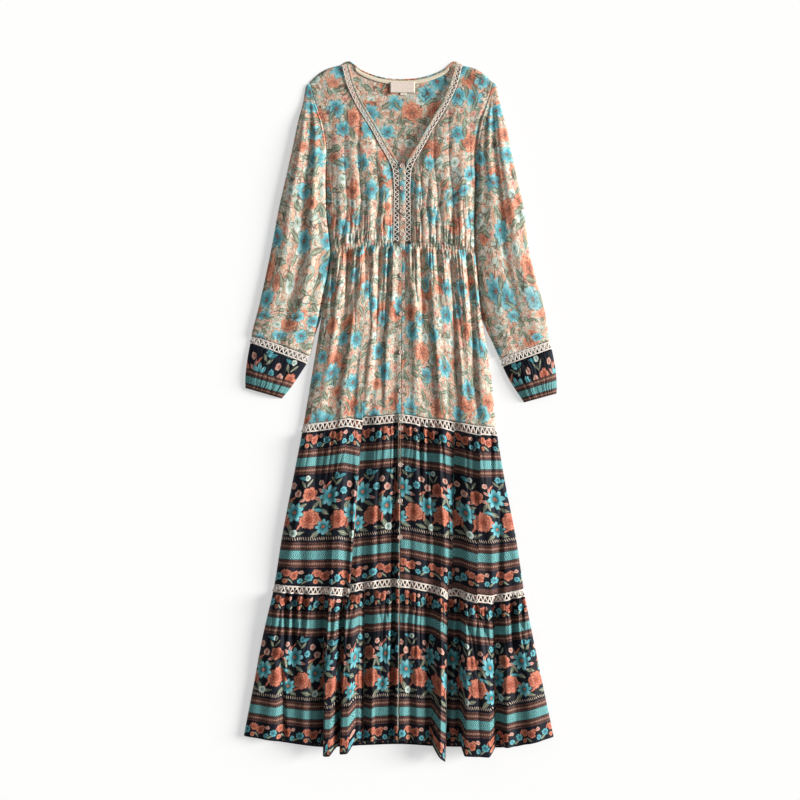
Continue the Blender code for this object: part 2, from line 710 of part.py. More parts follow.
def moved_out(surface, u, w, lift):
    """A point of the surface moved out by `lift`, square to it."""
    step = 1e-3
    point = np.array([float(axis) for axis in surface(u, w)])
    along = np.array([float(axis) for axis in surface(u + step, w)]) - point
    down = np.array([float(axis) for axis in surface(u, w + step)]) - point
    normal = np.cross(down, along)
    return point + normal / np.linalg.norm(normal) * lift


def on_skirt_placket(across, w):
    """A point of the skirt's placket, from -1 to 1 across it."""
    half = PLACKET_HALF / float(skirt_half(1.0, w))
    return moved_out(skirt, across * half, w, PLACKET_LIFT)


def on_bodice_placket(across, y):
    lift = neck_lift((NECK_LACE_TOP - y) / (NECK_LACE_TOP - NECK_LACE_FOOT))
    return CENTRE + BODICE_PLACKET_HALF * across, y, FRONT + 3.0 + lift + ON_TOP


def make_placket(collection):
    """The buttoned strip down the middle of the front, in the bodice and in the skirt."""
    cloth("placket_bodice", "floral_cloth", collection, on_bodice_placket, (-1, 0, 1),
          np.linspace(BODICE_PLACKET_TOP, BODICE_PLACKET_FOOT, 9))
    cloth("placket_skirt", "floral_cloth", collection, on_skirt_placket,
          (-1, -0.5, 0, 0.5, 1), np.linspace(0.003, PLACKET_FOOT, 25))


def add_button(name, collection, x, y, z):
    disc = bmesh.new()
    bmesh.ops.create_cone(disc, cap_ends=True, segments=10, radius1=BUTTON_RADIUS * MM,
                          radius2=0.82 * BUTTON_RADIUS * MM, depth=BUTTON_HEIGHT * MM)
    data = bpy.data.meshes.new(name)
    disc.to_mesh(data)
    disc.free()
    obj = add_object(name, data, "button", collection)
    obj.location = (x * MM, y * MM, (z + BUTTON_HEIGHT / 2) * MM)


def make_buttons(collection):
    stand = WALL + GAP + 0.2
    places = [on_bodice_placket(0, y) for y in BODICE_BUTTONS]
    for i, (x, y, z) in enumerate(places):
        add_button(f"button_bodice_{i + 1}", collection, x, y, z + stand)
    for i in range(SKIRT_BUTTON_COUNT):
        w = SKIRT_BUTTONS_FIRST + SKIRT_BUTTON_STEP * i
        x, y, z = on_skirt_placket(0, w)
        add_button(f"button_skirt_{i + 1}", collection, x, y, z + stand + BUTTON_TILT)


def make_neck_finish(collection):
    """The tape along the back neckline, the bare label on it and the small tab below that."""
    def tape(u, v):
        edge = smooth(BACK_TOP, "x", "y", abs(TAPE_HALF * u))
        return CENTRE + TAPE_HALF * u, edge - TAPE_BELOW - TAPE_WIDTH * v, FRONT

    def label(u, v):
        x = CENTRE + LABEL_ASIDE + LABEL_WIDTH / 2 * u
        return x, LABEL_TOP - LABEL_HEIGHT * v, FRONT + WALL + GAP

    def tab(u, v):
        x = CENTRE + TAB_ASIDE + TAB_WIDTH / 2 * u
        return x, TAB_TOP - TAB_HEIGHT * v, FRONT

    cloth("neck_tape", "tape", collection, tape, np.linspace(-1, 1, 13), (0, 1))
    cloth("neck_label", "label", collection, label, (-1, 1), (0, 1))
    cloth("size_tab", "label", collection, tab, (-1, 1), (0, 1))


def main():
    for obj in list(bpy.data.objects):
        bpy.data.objects.remove(obj, do_unlink=True)
    dress = bpy.data.collections.new("maxi_dress")
    bpy.context.scene.collection.children.link(dress)
    make_bodice(dress)
    make_neck_finish(dress)
    make_sleeves(dress)
    make_skirt(dress)
    make_placket(dress)
    make_buttons(dress)


main()
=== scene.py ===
"""Looks of the maxi dress: thin cloth shells, crochet cords, buttons and procedural prints.

The frame is the CAD's: metres, +Z up, the dress on its back on Z = 0, the neck towards +Y.
Tables and the functions that lay the cloth out are in millimetres, as in part.py, whose sizes
they repeat. Across the skirt `u` runs from -1 at the left side to 0 at the placket and 1 at the
right side; down it `w` is 0 at the waist, 1 at the upper lace, 2 at the lower lace and 3 at the
hem. Across every other piece `u`, and down it `v`, run from 0 to 1.
"""

import math
from collections import namedtuple

import bpy
import numpy as np
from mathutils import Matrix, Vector


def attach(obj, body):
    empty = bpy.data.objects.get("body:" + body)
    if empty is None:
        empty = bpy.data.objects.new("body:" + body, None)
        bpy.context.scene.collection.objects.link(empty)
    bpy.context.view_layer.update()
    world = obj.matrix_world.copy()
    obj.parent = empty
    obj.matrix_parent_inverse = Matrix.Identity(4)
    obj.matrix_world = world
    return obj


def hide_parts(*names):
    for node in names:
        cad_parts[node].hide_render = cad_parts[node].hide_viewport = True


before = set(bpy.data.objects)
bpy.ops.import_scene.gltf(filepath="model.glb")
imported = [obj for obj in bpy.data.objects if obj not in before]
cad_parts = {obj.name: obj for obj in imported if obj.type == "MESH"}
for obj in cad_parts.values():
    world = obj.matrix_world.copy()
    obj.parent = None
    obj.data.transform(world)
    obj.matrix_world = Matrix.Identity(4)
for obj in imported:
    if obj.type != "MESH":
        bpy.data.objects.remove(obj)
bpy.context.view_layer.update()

MM = 0.001


def table(columns, *rows):
    """Rows of values under named columns."""
    row = namedtuple("Row", columns)
    return [row(*values) for values in rows]


# --- Sizes shared with the CAD ---

WALL = 1.2  # cloth wall of the solids
GAP, SEAM, LACE_SEAM = 0.3, 0.5, 0.9
FRONT = WALL + GAP
ON_TOP = WALL + GAP + 0.2
CENTRE = 3.0
LACE_BAND, SLEEVE_LACE_BAND, NECK_LACE_BAND = 17.0, 16.0, 11.0
TIER_LENGTH = 340.0  # about how far apart the waist, the laces and the hem are
BAND = LACE_BAND / 2 / TIER_LENGTH
BAND_SEAM = LACE_SEAM / TIER_LENGTH
SLIT = 0.004
SIDE_ROLL = 20.0
BACK_LIFT, BACK_HEM_DROP = 20.0, 9.0
SLEEVE_BACK_LIFT, SLEEVE_LIFT_FROM = 13.0, 0.7
SHOULDER_OUTSIDE, SHOULDER_INSIDE, SHOULDER_BOW = 655.0, 687.0, 9.0
WAIST_OUTSIDE, WAIST_INSIDE = 315.0, 331.0
BODICE_SWELL, BODICE_ROLL = 6.0, 30.0
BACK_HALF = 183.0
NECK_LACE_TOP, NECK_LACE_FOOT, NECK_BAND_FOOT = 689.0, 336.0, 488.5
NECK_LIFT = 4.0
ARMHOLE_REACH, SLEEVE_HEAD = 40.0, 70.0
BODICE_PLACKET_HALF = 5.5
PLACKET_LIFT = WALL + GAP + 2.1
PLACKET_FOOT = 2.93
BODICE_PLACKET_TOP, BODICE_PLACKET_FOOT = 486.0, 332.0
TAPE_HALF, TAPE_WIDTH, TAPE_BELOW = 94.0, 8.0, 3.0
LABEL_WIDTH, LABEL_HEIGHT, LABEL_TOP, LABEL_ASIDE = 50.0, 21.0, 655.0, 1.0
TAB_WIDTH, TAB_HEIGHT, TAB_TOP, TAB_ASIDE = 13.0, 9.0, 638.0, 3.0
BUTTON_TILT = 1.5
BODICE_BUTTONS = (486, 442, 396, 350)
SKIRT_BUTTONS_FIRST, SKIRT_BUTTON_STEP, SKIRT_BUTTON_COUNT = 0.18, 0.22, 8
LINES = (0, 1, 2, 3)  # the waist, both laces and the hem, as places down the skirt
SECTION = "outer_x outer_y inner_x inner_y loft"

SKIRT_GIRTH = table(
    "down left right loft",
    (0.00, 140, 147, 2.0), (0.33, 159, 159, 3.5), (0.66, 178, 178, 3.5), (1.00, 198, 191, 2.5),
    (1.33, 218, 209, 4.0), (1.66, 238, 230, 4.5), (2.00, 255, 247, 4.0), (2.33, 277, 266, 6.0),
    (2.66, 295, 286, 7.0), (3.00, 314, 307, 7.0),
)
LEVELS = table(
    "across waist upper lower hem",
    (-1.00, 314, -40, -359, -654), (-0.75, 322, -34, -363, -664), (-0.50, 328, -26, -362, -671),
    (-0.25, 330, -23, -352, -666), (0.00, 330, -19, -348, -663), (0.25, 327, -27, -360, -668),
    (0.50, 325, -32, -370, -671), (0.75, 321, -41, -379, -673), (1.00, 315, -46, -368, -656),
)
LONG_FOLDS = table(
    "upper hem width flat rise_upper rise_lower rise_hem lean drop",
    (-0.95, -0.83, 28, 0.1, 2, 4, 8, 0.0, 0), (-0.84, -0.62, 20, 0.0, 1, 4, 8, 0.3, 0),
    (-0.58, -0.44, 15, 0.40, 3, 9, 22, -0.45, 20), (-0.41, -0.34, 16, 0.40, 3, 8, 20, -0.35, 18),
    (-0.26, -0.20, 13, 0.0, 2, 5, 9, 0.45, 2), (0.01, 0.01, 18, 0.35, 3, 6, 10, -0.50, 0),
    (0.16, 0.13, 24, 0.2, 2, 5, 9, 0.0, 0), (0.42, 0.24, 15, 0.35, 3, 9, 23, 0.45, 26),
    (0.76, 0.505, 38, 0.6, 3, 8, 20, -0.15, 20), (0.98, 0.70, 18, 0.0, 0, 4, 9, -0.3, 2),
    (1.10, 0.87, 26, 0.1, 0, 2, 8, 0.0, 0),
)
TIER_FOLDS = table(
    "tier top foot width rise lean",
    (0, -0.80, -0.84, 15, 5, 0.4), (0, -0.52, -0.60, 17, 6, -0.4), (0, -0.30, -0.36, 13, 5, 0.5),
    (0, -0.13, -0.16, 11, 6, -0.8), (0, 0.18, 0.14, 16, 5, 0.5), (0, 0.40, 0.42, 14, 6, -0.5),
    (0, 0.62, 0.66, 14, 5, 0.5), (0, 0.84, 0.86, 13, 5, -0.4), (1, -0.86, -0.90, 15, 5, -0.5),
    (1, -0.44, -0.42, 18, 7, 0.6), (1, -0.16, -0.16, 12, 5, -0.3), (1, 0.26, 0.24, 9, 6, 0.4),
    (1, 0.35, 0.36, 9, 6, 0.3), (1, 0.46, 0.45, 12, 7, -0.4), (1, 0.80, 0.76, 16, 5, 0.4),
)
BODY_EDGE = table(
    "y left right",
    (655, -182, 185), (634, -176, 179), (606, -167, 170), (570, -155, 158), (522, -148, 151),
    (458, -148, 151), (386, -146, 149), (326, -139, 149),
)
ARMHOLE_RISES = table(
    "y rise",
    (655, 0.5), (625, 2.8), (585, 4.2), (545, 3.8), (505, 1.6), (475, 0), (430, 0),
)
NECK_EDGE = table(
    "y outer lace inner",
    (691, 121, 112, 107), (646, 109, 99.5, 93), (612, 93, 84.5, 78), (588, 79, 70.5, 64),
    (556, 59, 51, 45), (528, 44, 36, 29.5), (504, 30, 21, 14), (482, 20, 7, 5.5), (458, 17, 6, 5),
    (400, 17, 6, 5), (336, 18, 6, 5),
)
BACK_TOP = table(
    "x y",
    (0, 661), (30, 663), (56, 669), (84, 681), (107, 697), (124, 689), (148, 682), (167, 671), (183, 656),
)
SLEEVE_LEFT = table(
    SECTION,
    (-189, 652, -181.5, 640, 2), (-196, 612, -169.5, 606, 5), (-206, 574, -157.8, 570, 8),
    (-217, 522, -150.6, 522, 10.5), (-230, 464, -150.4, 458, 12), (-244, 402, -148.4, 386, 12),
    (-262, 306, -141.5, 306, 12), (-283, 210, -159.0, 210, 12), (-292, 176, -169.0, 160, 11),
    (-299, 149, -181.0, 107, 10),
)
SLEEVE_RIGHT = table(
    SECTION,
    (192, 653, 184.5, 641, 2), (199, 616, 172.8, 608, 5), (211, 571, 160.8, 570, 8),
    (221, 522, 153.6, 522, 10), (233, 464, 153.4, 458, 11), (247, 402, 151.6, 386, 11),
    (260, 306, 153.5, 306, 11), (286, 210, 163.0, 210, 12), (294, 168, 177.0, 152, 11),
    (299, 138, 198.0, 103, 10),
)
SLEEVE_LACE_LEFT = table(SECTION, (-298.2, 147.6, -181.3, 105.6, 10), (-301, 133, -188, 91, 10))
SLEEVE_LACE_RIGHT = table(SECTION, (299.4, 136.6, 198.5, 101.6, 10), (303, 121, 205, 85, 10))
CUFF_LEFT = table(
    SECTION,
    (-301.3, 131.4, -188.7, 89.6, 10), (-307, 100, -204, 66, 12), (-311, 66, -222, 40, 11),
    (-311, 42, -238, 21, 6),
)
CUFF_RIGHT = table(
    SECTION,
    (303.4, 119.4, 205.6, 83.6, 10), (309, 90, 219, 57, 12), (313, 56, 235, 32, 11),
    (313, 31, 248, 13, 6),
)
SLEEVE_FOLDS = table(
    "top foot width rise",
    (0.30, 0.18, 0.15, 0.35), (0.55, 0.46, 0.13, -0.30), (0.70, 0.72, 0.14, 0.28),
)
BODICE_FOLDS = table(
    "top foot width rise",
    (0.20, 0.22, 14, 3.0), (0.46, 0.42, 12, 2.4), (0.66, 0.64, 12, 3.2), (0.86, 0.84, 10, 2.4),
)


# --- Sizes of the looks ---

THICK = 0.6  # thickness of the cloth shown
CLOSE = 1.2  # how far a front panel's edge comes down to the back
CLOSE_REACH = 5.0
RAISE = 4.5  # how much fuller the skirt shows than its solids
WAIST_LAP = 1.4  # how far the bodice and the skirt reach past the waist seam
WAIST_REACH = 11.0  # and how far from it they bend to its height
WAIST_RISE, PUCKER_RISE, WAIST_ROLL = 2.6, 1.9, 14  # the seam over the back, and its puckers
STITCH_DIP, STITCH_HALF = 0.7, 1.6  # the stitched line along a seam
OPENING_FLAT, OPENING_REACH = 7, 10  # beside the skirt's opening the gathers begin past these
GATHER_ROLL = 12
ARMHOLE_LAP = 4.8  # how far a sleeve reaches under the body's edge
BODY_LAP = 0.8
SLEEVE_FLATTER = 12.0  # how much flatter the sleeves' fronts show than their solids
SLEEVE_HEAD_REACH = 0.26  # share of a sleeve in which it carries on from the shoulder

CREASE_ONSET, CREASE_SHARPNESS = 0.03, 1.6
WANDER_TURNS, WANDER_START = 4096, 2000  # random values of a line, and where it is at zero
GATHER_ONSET, PUCKER_SPACING = 8.0, 5.6  # gathers rise to their height over the first of these
LACE_REPEAT, ZIGZAG_STEPS = 9.6, 5  # millimetres of lace to a zigzag, and points between turns
BODICE_LENGTH, BODICE_WIDTH = 340.0, 130.0  # about how long and wide a front is
SLEEVE_LENGTH, CUFF_LENGTH = 520.0, 78.0
CUFF_WIDTHS, CUFF_PUCKERS = (115, 80), 5.0
BINDING_HALF = 106.0
DENSE = 1500  # points on a line that is parted evenly
PRINT_SHIFT = 500  # starts each piece at another part of the print

# Down a cuff: where it is, and where the border print is there.
CUFF_PRINT = ((0.0, 0.5, 0.502, 0.64, 0.84, 1.0), (88, 124, 225, 238, 257, 272))

# Radius and height of a button from its back to its middle.
BUTTON_PROFILE = ((4.2, 0.0), (4.9, 0.5), (5.0, 1.1), (4.8, 1.8), (4.3, 2.2), (3.7, 2.1),
                  (3.1, 1.6), (2.4, 1.45), (0.6, 1.4))

# Half width of the skirt's placket as it shows, from the waist down.
PLACKET_HALVES = (6.0, 5.0, 3.2, 2.2)

# Sharp valleys between the pleats (ridges where the depth is below zero). X is `top` where w is
# `start` and `foot` where it is `end`; `left` and `right` are how far the slopes reach, `step` how
# much lower the cloth lies on the left, `hidden` how much of it is folded away. The valley fades
# over the last `fade` of its length.
CREASES = table(
    "start end top foot left right depth step hidden fade",
    (0.00, 0.40, -133, -140, 9, 10, 6.2, 0, 0, 0.6), (0.00, 0.42, -105, -112, 10, 14, 8.1, 2, 0, 0.7),
    (0.00, 0.34, -69, -73, 8, 12, 6.2, 0, 0, 0.8), (0.00, 0.85, -41, -54, 11, 18, 8.8, 3, 0, 0.7),
    (0.02, 0.60, -22, -29, 8, 12, 8.1, 2, 0, 0.6), (0.00, 0.22, 24, 22, 6, 9, 5.6, 0, 0, 0.8),
    (0.00, 0.55, 41, 44, 10, 15, 6.9, 2, 0, 0.8), (0.00, 0.38, 73, 78, 9, 12, 6.2, 0, 0, 0.8),
    (0.06, 0.98, 100, 118, 14, 18, 8.1, 2, 0, 0.5), (0.00, 1.00, 133, 156, 13, 16, 9.4, 3, 0, 0.35),
    (0.96, 2.12, -75, -105, 30, 40, 11.6, 9, 45, 0.06), (1.00, 1.75, -166, -176, 24, 30, 5.1, 0, 0, 0.5),
    (0.98, 3.20, -8, -19, 10, 7, 12.3, 0, 16, 0.05), (1.00, 1.38, 41, 39, 9, 11, 8.7, 2, 0, 0.6),
    (1.00, 1.45, 56, 53, 9, 10, 9.4, 2, 0, 0.6), (1.00, 1.32, 72, 71, 9, 11, 5.8, 0, 0, 0.7),
    (0.98, 2.05, 108, 103, 26, 34, 10.9, 5, 34, 0.08), (1.00, 2.08, 160, 152, 34, 26, -6.5, 3, 0, 0.05),
    (1.00, 1.36, 181, 182, 9, 11, 5.8, 0, 0, 0.7), (1.45, 2.02, 200, 200, 12, 9, 4.3, 0, 0, 0.2),
    (2.00, 2.42, -227, -232, 8, 9, 10.2, 0, 0, 0.6), (2.00, 2.45, -212, -216, 8, 9, 10.2, 0, 0, 0.6),
    (2.00, 2.36, -191, -196, 9, 10, 8.7, 0, 0, 0.7), (2.45, 3.20, -236, -229, 16, 6, 6.5, -6, 0, 0.05),
    (1.98, 3.20, -153, -155, 18, 5, 10.9, 0, 34, 0.05), (1.98, 3.20, -115, -127, 7, 8, 11.6, 4, 26, 0.05),
    (1.98, 3.20, -72, -75, 9, 26, 13.0, 5, 42, 0.05), (2.00, 3.20, 55, 59, 26, 12, 8.7, 0, 12, 0.05),
    (1.90, 3.20, 97, 88, 11, 20, 14.5, 9, 40, 0.05), (1.98, 3.20, 119, 114, 14, 6, 11.6, 0, 26, 0.05),
    (1.98, 3.20, 186, 191, 10, 24, 13.0, 4, 38, 0.05), (2.00, 2.48, 223, 228, 9, 12, 9.4, 0, 0, 0.6),
    (2.00, 2.30, 242, 246, 8, 9, 7.2, 0, 0, 0.7),
)

# Gathers run away from a sewn edge: how far apart they are, how high, and how far they reach.
GATHER = "spacing height reach"
WAIST_GATHERS = table(GATHER, (6.6, 3.3, 90), (12.0, 4.2, 190), (27.0, 5.0, 400))
MIDDLE_GATHERS = table(GATHER, (8.0, 2.4, 50), (16.0, 5.6, 200), (38.0, 7.4, 430))
LOWER_GATHERS = table(GATHER, (7.0, 3.0, 80), (12.5, 7.4, 230), (30.0, 8.6, 390))
BODICE_GATHERS = table(GATHER, (6.6, 3.0, 70), (13.0, 4.2, 170), (29.0, 6.0, 420))
CUFF_GATHERS = table(GATHER, (6.5, 2.0, 45), (13.0, 2.0, 85))

# The border print, from a tier's top: middles of its two rows of small flowers and of its two
# turquoise stripes, how far half a stripe and its brown edges reach, and where the print ends.
# Dark lines run along each brown edge, `EDGE_LINES` from its middle.
ROW_UPPER, ROW_LOWER = 18.0, 291.0
STRIPE_UPPER, STRIPE_LOWER = 60.0, 247.5
STRIPE_HALF, EDGE_HALF, EDGE_MIDDLE, EDGE_LINES = 9.5, 25.0, 17.3, 4.6
PRINT_MIDDLE, BOUQUETS_HALF, BOUQUETS_TOP = 154.0, 118.0, 84.0
PRINT_LENGTH, UPPER_HALF_END = 308.0, 150.0

# Colours as they look in flat light.
CREAM, LACE_CREAM, PEACH, BLUSH, WHITE = "#DBCFC0", "#E6DCD2", "#D2A489", "#D9B9A6", "#DDE0D8"
CORAL, CORAL_DEEP, CORAL_PALE, PINK = "#C9795C", "#974C38", "#DFA285", "#C47C74"
RUST, RUST_DEEP, RUST_PALE = "#C26C54", "#7E3B2E", "#D78F76"
TURQUOISE, TURQUOISE_DEEP, TURQUOISE_PALE = "#4FA3AD", "#236A78", "#86C3C9"
STRIPE_TURQUOISE = "#86C6C4"
MINT, SAGE, OLIVE, BARK = "#A5C4BB", "#83947F", "#5C5F47", "#4A3D33"
NAVY, NAVY_PALE, BLACK = "#11131B", "#1B1F2B", "#000000"


# --- Arithmetic ---


def column(rows, name):
    return np.array([getattr(row, name) for row in rows], float)


def curve(keys, values, at):
    """A smooth line through the values at rising keys."""
    slopes = np.gradient(values, keys)
    at = np.clip(np.asarray(at, float), keys[0], keys[-1])
    i = np.clip(np.searchsorted(keys, at) - 1, 0, len(keys) - 2)
    span = keys[i + 1] - keys[i]
    t = (at - keys[i]) / span
    near = (1 + 2 * t) * (1 - t) ** 2 * values[i] + t * (1 - t) ** 2 * span * slopes[i]
    far = t * t * (3 - 2 * t) * values[i + 1] + t * t * (t - 1) * span * slopes[i + 1]
    return near + far


def smooth(rows, key, name, at):
    """The value of the named column where the key column is `at`, on a smooth curve."""
    keys, values = column(rows, key), column(rows, name)
    if keys[0] > keys[-1]:
        keys, values = keys[::-1], values[::-1]
    return curve(keys, values, at)


def unit(value):
    return np.clip(value, 0, 1)


def between(start, end, share):
    return start + (end - start) * share


def eased(share):
    return share * share * (3 - 2 * share)


def bump(distance, flat=0.0):
    """1 at the middle, level for the `flat` share of the way, and a smooth fall to 0 at 1."""
    return 0.5 + 0.5 * np.cos(np.pi * unit((np.abs(distance) - flat) / (1 - flat)))


def rolled(distance, reach):
    """0 at an edge and 1 from `reach` inwards, round like cloth that is turned over."""
    return np.sqrt(unit(1 - (1 - unit(distance / reach)) ** 2))


def arch(share):
    """0 at both ends and 1 in the middle."""
    return np.sin(np.pi * unit(share))


def grids(*values):
    return np.broadcast_arrays(*(np.asarray(value, float) for value in values))


def net(across, down):
    """Places across and down a grid; each way is given as its first, its last and a count."""
    return np.meshgrid(np.linspace(*across), np.linspace(*down))


def lengths_along(points):
    """How far each of a line's points is from its start, along the line."""
    steps = np.sqrt(sum(np.diff(axis) ** 2 for axis in points))
    return np.concatenate([[0], np.cumsum(steps)])


def even_places(points, count):
    """Places from 0 to 1 that part a line, given as dense points, into even lengths."""
    length = lengths_along(points)
    return np.interp(np.linspace(0, length[-1], count + 1), length, np.linspace(0, 1, len(length)))


# --- How the cloth lies ---


def skirt_half(u, w):
    left, right = (smooth(SKIRT_GIRTH, "down", side, w) for side in ("left", "right"))
    return np.where(u < 0, left, right)


def skirt_level(u, w):
    """Y of the flat skirt, before its folds."""
    lines = [smooth(LEVELS, "across", name, u) for name in ("waist", "upper", "lower", "hem")]
    tier = np.clip(np.floor(w), 0, 2).astype(int)
    return between(np.choose(tier, lines[:3]), np.choose(tier, lines[1:]), w - tier)


def skirt(u, w):
    """The inner face of the skirt's front."""
    u, w = grids(u, w)
    half = skirt_half(u, w)
    flat_x = u * half
    roll = rolled((1 - np.abs(u)) * half, SIDE_ROLL)
    x, y = flat_x, skirt_level(u, w)
    z = smooth(SKIRT_GIRTH, "down", "loft", w) * roll
    for fold in LONG_FOLDS:
        middle = between(fold.upper, fold.hem, (w - 1) / 2) * half
        shape = bump((flat_x - middle) / fold.width, fold.flat) * roll
        rise = np.interp(w, LINES, (0.0, fold.rise_upper, fold.rise_lower, fold.rise_hem)) * shape
        x = x + fold.lean * rise
        y = y - fold.drop * shape * unit((w - 1.6) / 1.4) ** 2
        z = z + rise
    for fold in TIER_FOLDS:
        v = unit(w - fold.tier)
        middle = between(fold.top, fold.foot, v) * half
        rise = fold.rise * np.sin(np.pi * v) * bump((flat_x - middle) / fold.width) * roll
        x = x + fold.lean * rise
        z = z + rise
    return x + CENTRE * (1 - w / 3), y, FRONT + z


def creased(x, w):
    """What the creases add at a place of the skirt: height, Y, and cloth folded away."""
    rise, shift, hidden = (np.zeros(x.shape) for _ in range(3))
    for crease in CREASES:
        share = (w - crease.start) / (crease.end - crease.start)
        off = x - crease.top - (crease.foot - crease.top) * unit(share)
        strength = unit((1 - share) / crease.fade) * unit(share / CREASE_ONSET + 0.3)
        strength = strength * (share > -CREASE_ONSET)
        shape = unit(1 - np.abs(off) / np.where(off < 0, crease.left, crease.right))
        rise = rise - crease.depth * strength * shape**CREASE_SHARPNESS
        shift = shift - crease.step * strength * np.where(off < 0, shape, 0)
        own_tier = np.floor(w) == np.floor(crease.start + 0.12)
        hidden = hidden + crease.hidden * own_tier * unit(off / 1.6 + 0.5)
    return rise, shift, hidden


def shown_skirt(u, w):
    """The skirt's front as it shows, and how much cloth its creases have folded away."""
    u, w = grids(u, w)
    x, y, z = skirt(u, w)
    rise, shift, hidden = creased(x, w)
    roll = rolled((1 - np.abs(u)) * skirt_half(u, w), SIDE_ROLL)
    return x, y + shift, np.maximum(z + (RAISE + rise) * roll, FRONT), hidden


def skirt_back(u, w):
    u, w = grids(u, w)
    lift = np.interp(w, LINES, (0, BACK_LIFT, BACK_LIFT, 0)) * (1 - u**6)
    y = skirt_level(u, w) + lift - BACK_HEM_DROP * unit(w - 2) * (1 - u**2)
    return u * skirt_half(u, w) + CENTRE * (1 - w / 3), y, 0.0 * u


def waist_y(x):
    """Y of the waist seam under a point of the bodice."""
    return smooth(LEVELS, "across", "waist", (x - CENTRE) / skirt_half(x - CENTRE, 0.0))


def body_edge(y, side):
    return smooth(BODY_EDGE, "y", "left" if side < 0 else "right", y)


def armhole_rise(y):
    return smooth(ARMHOLE_RISES, "y", "rise", y)


def armhole_open(y):
    """0 where the armhole's seam stands up and joins both pieces, 1 below that."""
    return 1 - unit(armhole_rise(y) / 1.5)


def neck_edge(y, side, name):
    return CENTRE + side * smooth(NECK_EDGE, "y", name, y)


def neck_place(y):
    """0 at the top of the neck lace and 1 at its foot."""
    return (NECK_LACE_TOP - y) / (NECK_LACE_TOP - NECK_LACE_FOOT)


def neck_lift(v):
    """How far the open edges of the fronts lift off the back, from shoulder to waist."""
    return NECK_LIFT * arch(v) ** 0.7


def bodice_front(u, v, side):
    """One front's inner face: `u` from the armhole to the lace, `v` from shoulder to waist."""
    u, v = grids(u, v)
    outside_x = body_edge(between(SHOULDER_OUTSIDE, WAIST_OUTSIDE, v), side) - side * SEAM
    inside_x = neck_edge(between(SHOULDER_INSIDE, WAIST_INSIDE, v), side, "outer") - side * SEAM
    x = between(outside_x, inside_x, u)
    shoulder = between(SHOULDER_OUTSIDE, SHOULDER_INSIDE, u) + SHOULDER_BOW * np.sin(np.pi * u)
    y = between(shoulder, waist_y(x) + SEAM, v)
    width = np.abs(inside_x - outside_x)
    armhole, opening = rolled(u * width, BODICE_ROLL), rolled((1 - u) * width, BODICE_ROLL)
    swell = BODICE_SWELL * armhole * opening * arch(v) ** 0.7
    swell = np.maximum(swell, armhole_rise(y) * bump(u * width / ARMHOLE_REACH))
    z = FRONT + 1.0 * u + np.maximum(swell, neck_lift(v) * armhole) + 1.5 * v
    for fold in BODICE_FOLDS:
        middle = between(fold.top, fold.foot, v) * width
        z = z + fold.rise * v**1.5 * bump((u * width - middle) / fold.width)
    return x, y, z


def bodice_back(u, v):
    u, v = grids(u, v)
    top = smooth(BACK_TOP, "x", "y", np.abs(u) * BACK_HALF)
    y = between(top, WAIST_OUTSIDE, v)
    left, right = body_edge(y, -1), body_edge(y, 1)
    middle = 0.5 * (left + right)
    side = np.where(u < 0, -1, 1)
    x = middle + np.abs(u) * (np.where(u < 0, left, right) - middle - side * SEAM)
    return x, between(top, waist_y(x) + SEAM, v), 0.0 * u


def tube_side(sections, u, v, upper, back_lift=0.0):
    """One layer of a flattened sleeve: `u` from its outer to its inner edge, `v` down it."""
    u, v = grids(u, v)
    stations = np.linspace(0, 1, len(sections))
    outer_x, outer_y, inner_x, inner_y, loft = (
        curve(stations, column(sections, name), v) for name in SECTION.split()
    )
    x, y = between(outer_x, inner_x, u), between(outer_y, inner_y, u)
    if not upper:
        return x, y + back_lift * arch(u), 0.0 * u
    return x, y, FRONT + loft * arch(u) ** 0.5


def sleeve(sections, u, v, upper):
    """The sleeve above its lace. Its back lies a little higher there than its front."""
    lift = SLEEVE_BACK_LIFT * unit((v - SLEEVE_LIFT_FROM) / (1 - SLEEVE_LIFT_FROM))
    x, y, z = tube_side(sections, u, v, upper, lift)
    if upper:
        loft = (z - FRONT) * np.sin(np.pi * unit(v) ** 0.8) ** 0.5
        for fold in SLEEVE_FOLDS:
            z = z + fold.rise * loft * bump((u - between(fold.top, fold.foot, v)) / fold.width)
        seam = armhole_rise(y) * bump((1 - u) * SLEEVE_HEAD / ARMHOLE_REACH)
        z = np.maximum(z, FRONT + seam)
    return x, y, z


def neck_strip(side, foot, inner, outer, a, b):
    """A strip along the neck: `a` down to its foot, `b` outwards between two named edges."""
    a, b = grids(a, b)
    y = between(NECK_LACE_TOP, foot, a)
    seam = 0.0 if outer == "outer" else side * SEAM
    x = between(neck_edge(y, side, inner), neck_edge(y, side, outer) - seam, b)
    down = neck_place(y)
    return x, y, FRONT + 1.6 + 1.5 * down + neck_lift(down) + ON_TOP


def on_skirt_placket(across, w):
    """A point of the skirt's placket, from -1 to 1 across it, square to the cloth under it."""
    step = 1e-3
    u = across * np.interp(w, LINES, PLACKET_HALVES) / skirt_half(np.float64(1.0), w)
    point, along, down = (
        np.array([float(axis) for axis in skirt(*place)])
        for place in ((u, w), (u + step, w), (u, w + step))
    )
    normal = np.cross(down - point, along - point)
    return point + normal / np.linalg.norm(normal) * PLACKET_LIFT


def on_bodice_placket(across, y):
    z = FRONT + 3.0 + neck_lift(neck_place(y)) + ON_TOP
    return np.array([CENTRE + BODICE_PLACKET_HALF * across, y, z])


# --- Gathers ---


def wander(at, spacing, seed):
    """A smooth line between -1 and 1 that turns at random about every `spacing`."""
    values = np.random.default_rng(seed).uniform(-1, 1, WANDER_TURNS)
    place = np.asarray(at, float) / spacing + WANDER_START
    i = np.floor(place).astype(int)
    return between(values[i], values[i + 1], eased(place - i))


def ridges(place):
    """1 on a ridge and 0 in the narrow valley beside it, one ridge for each whole number."""
    return np.abs(np.sin(np.pi * place))


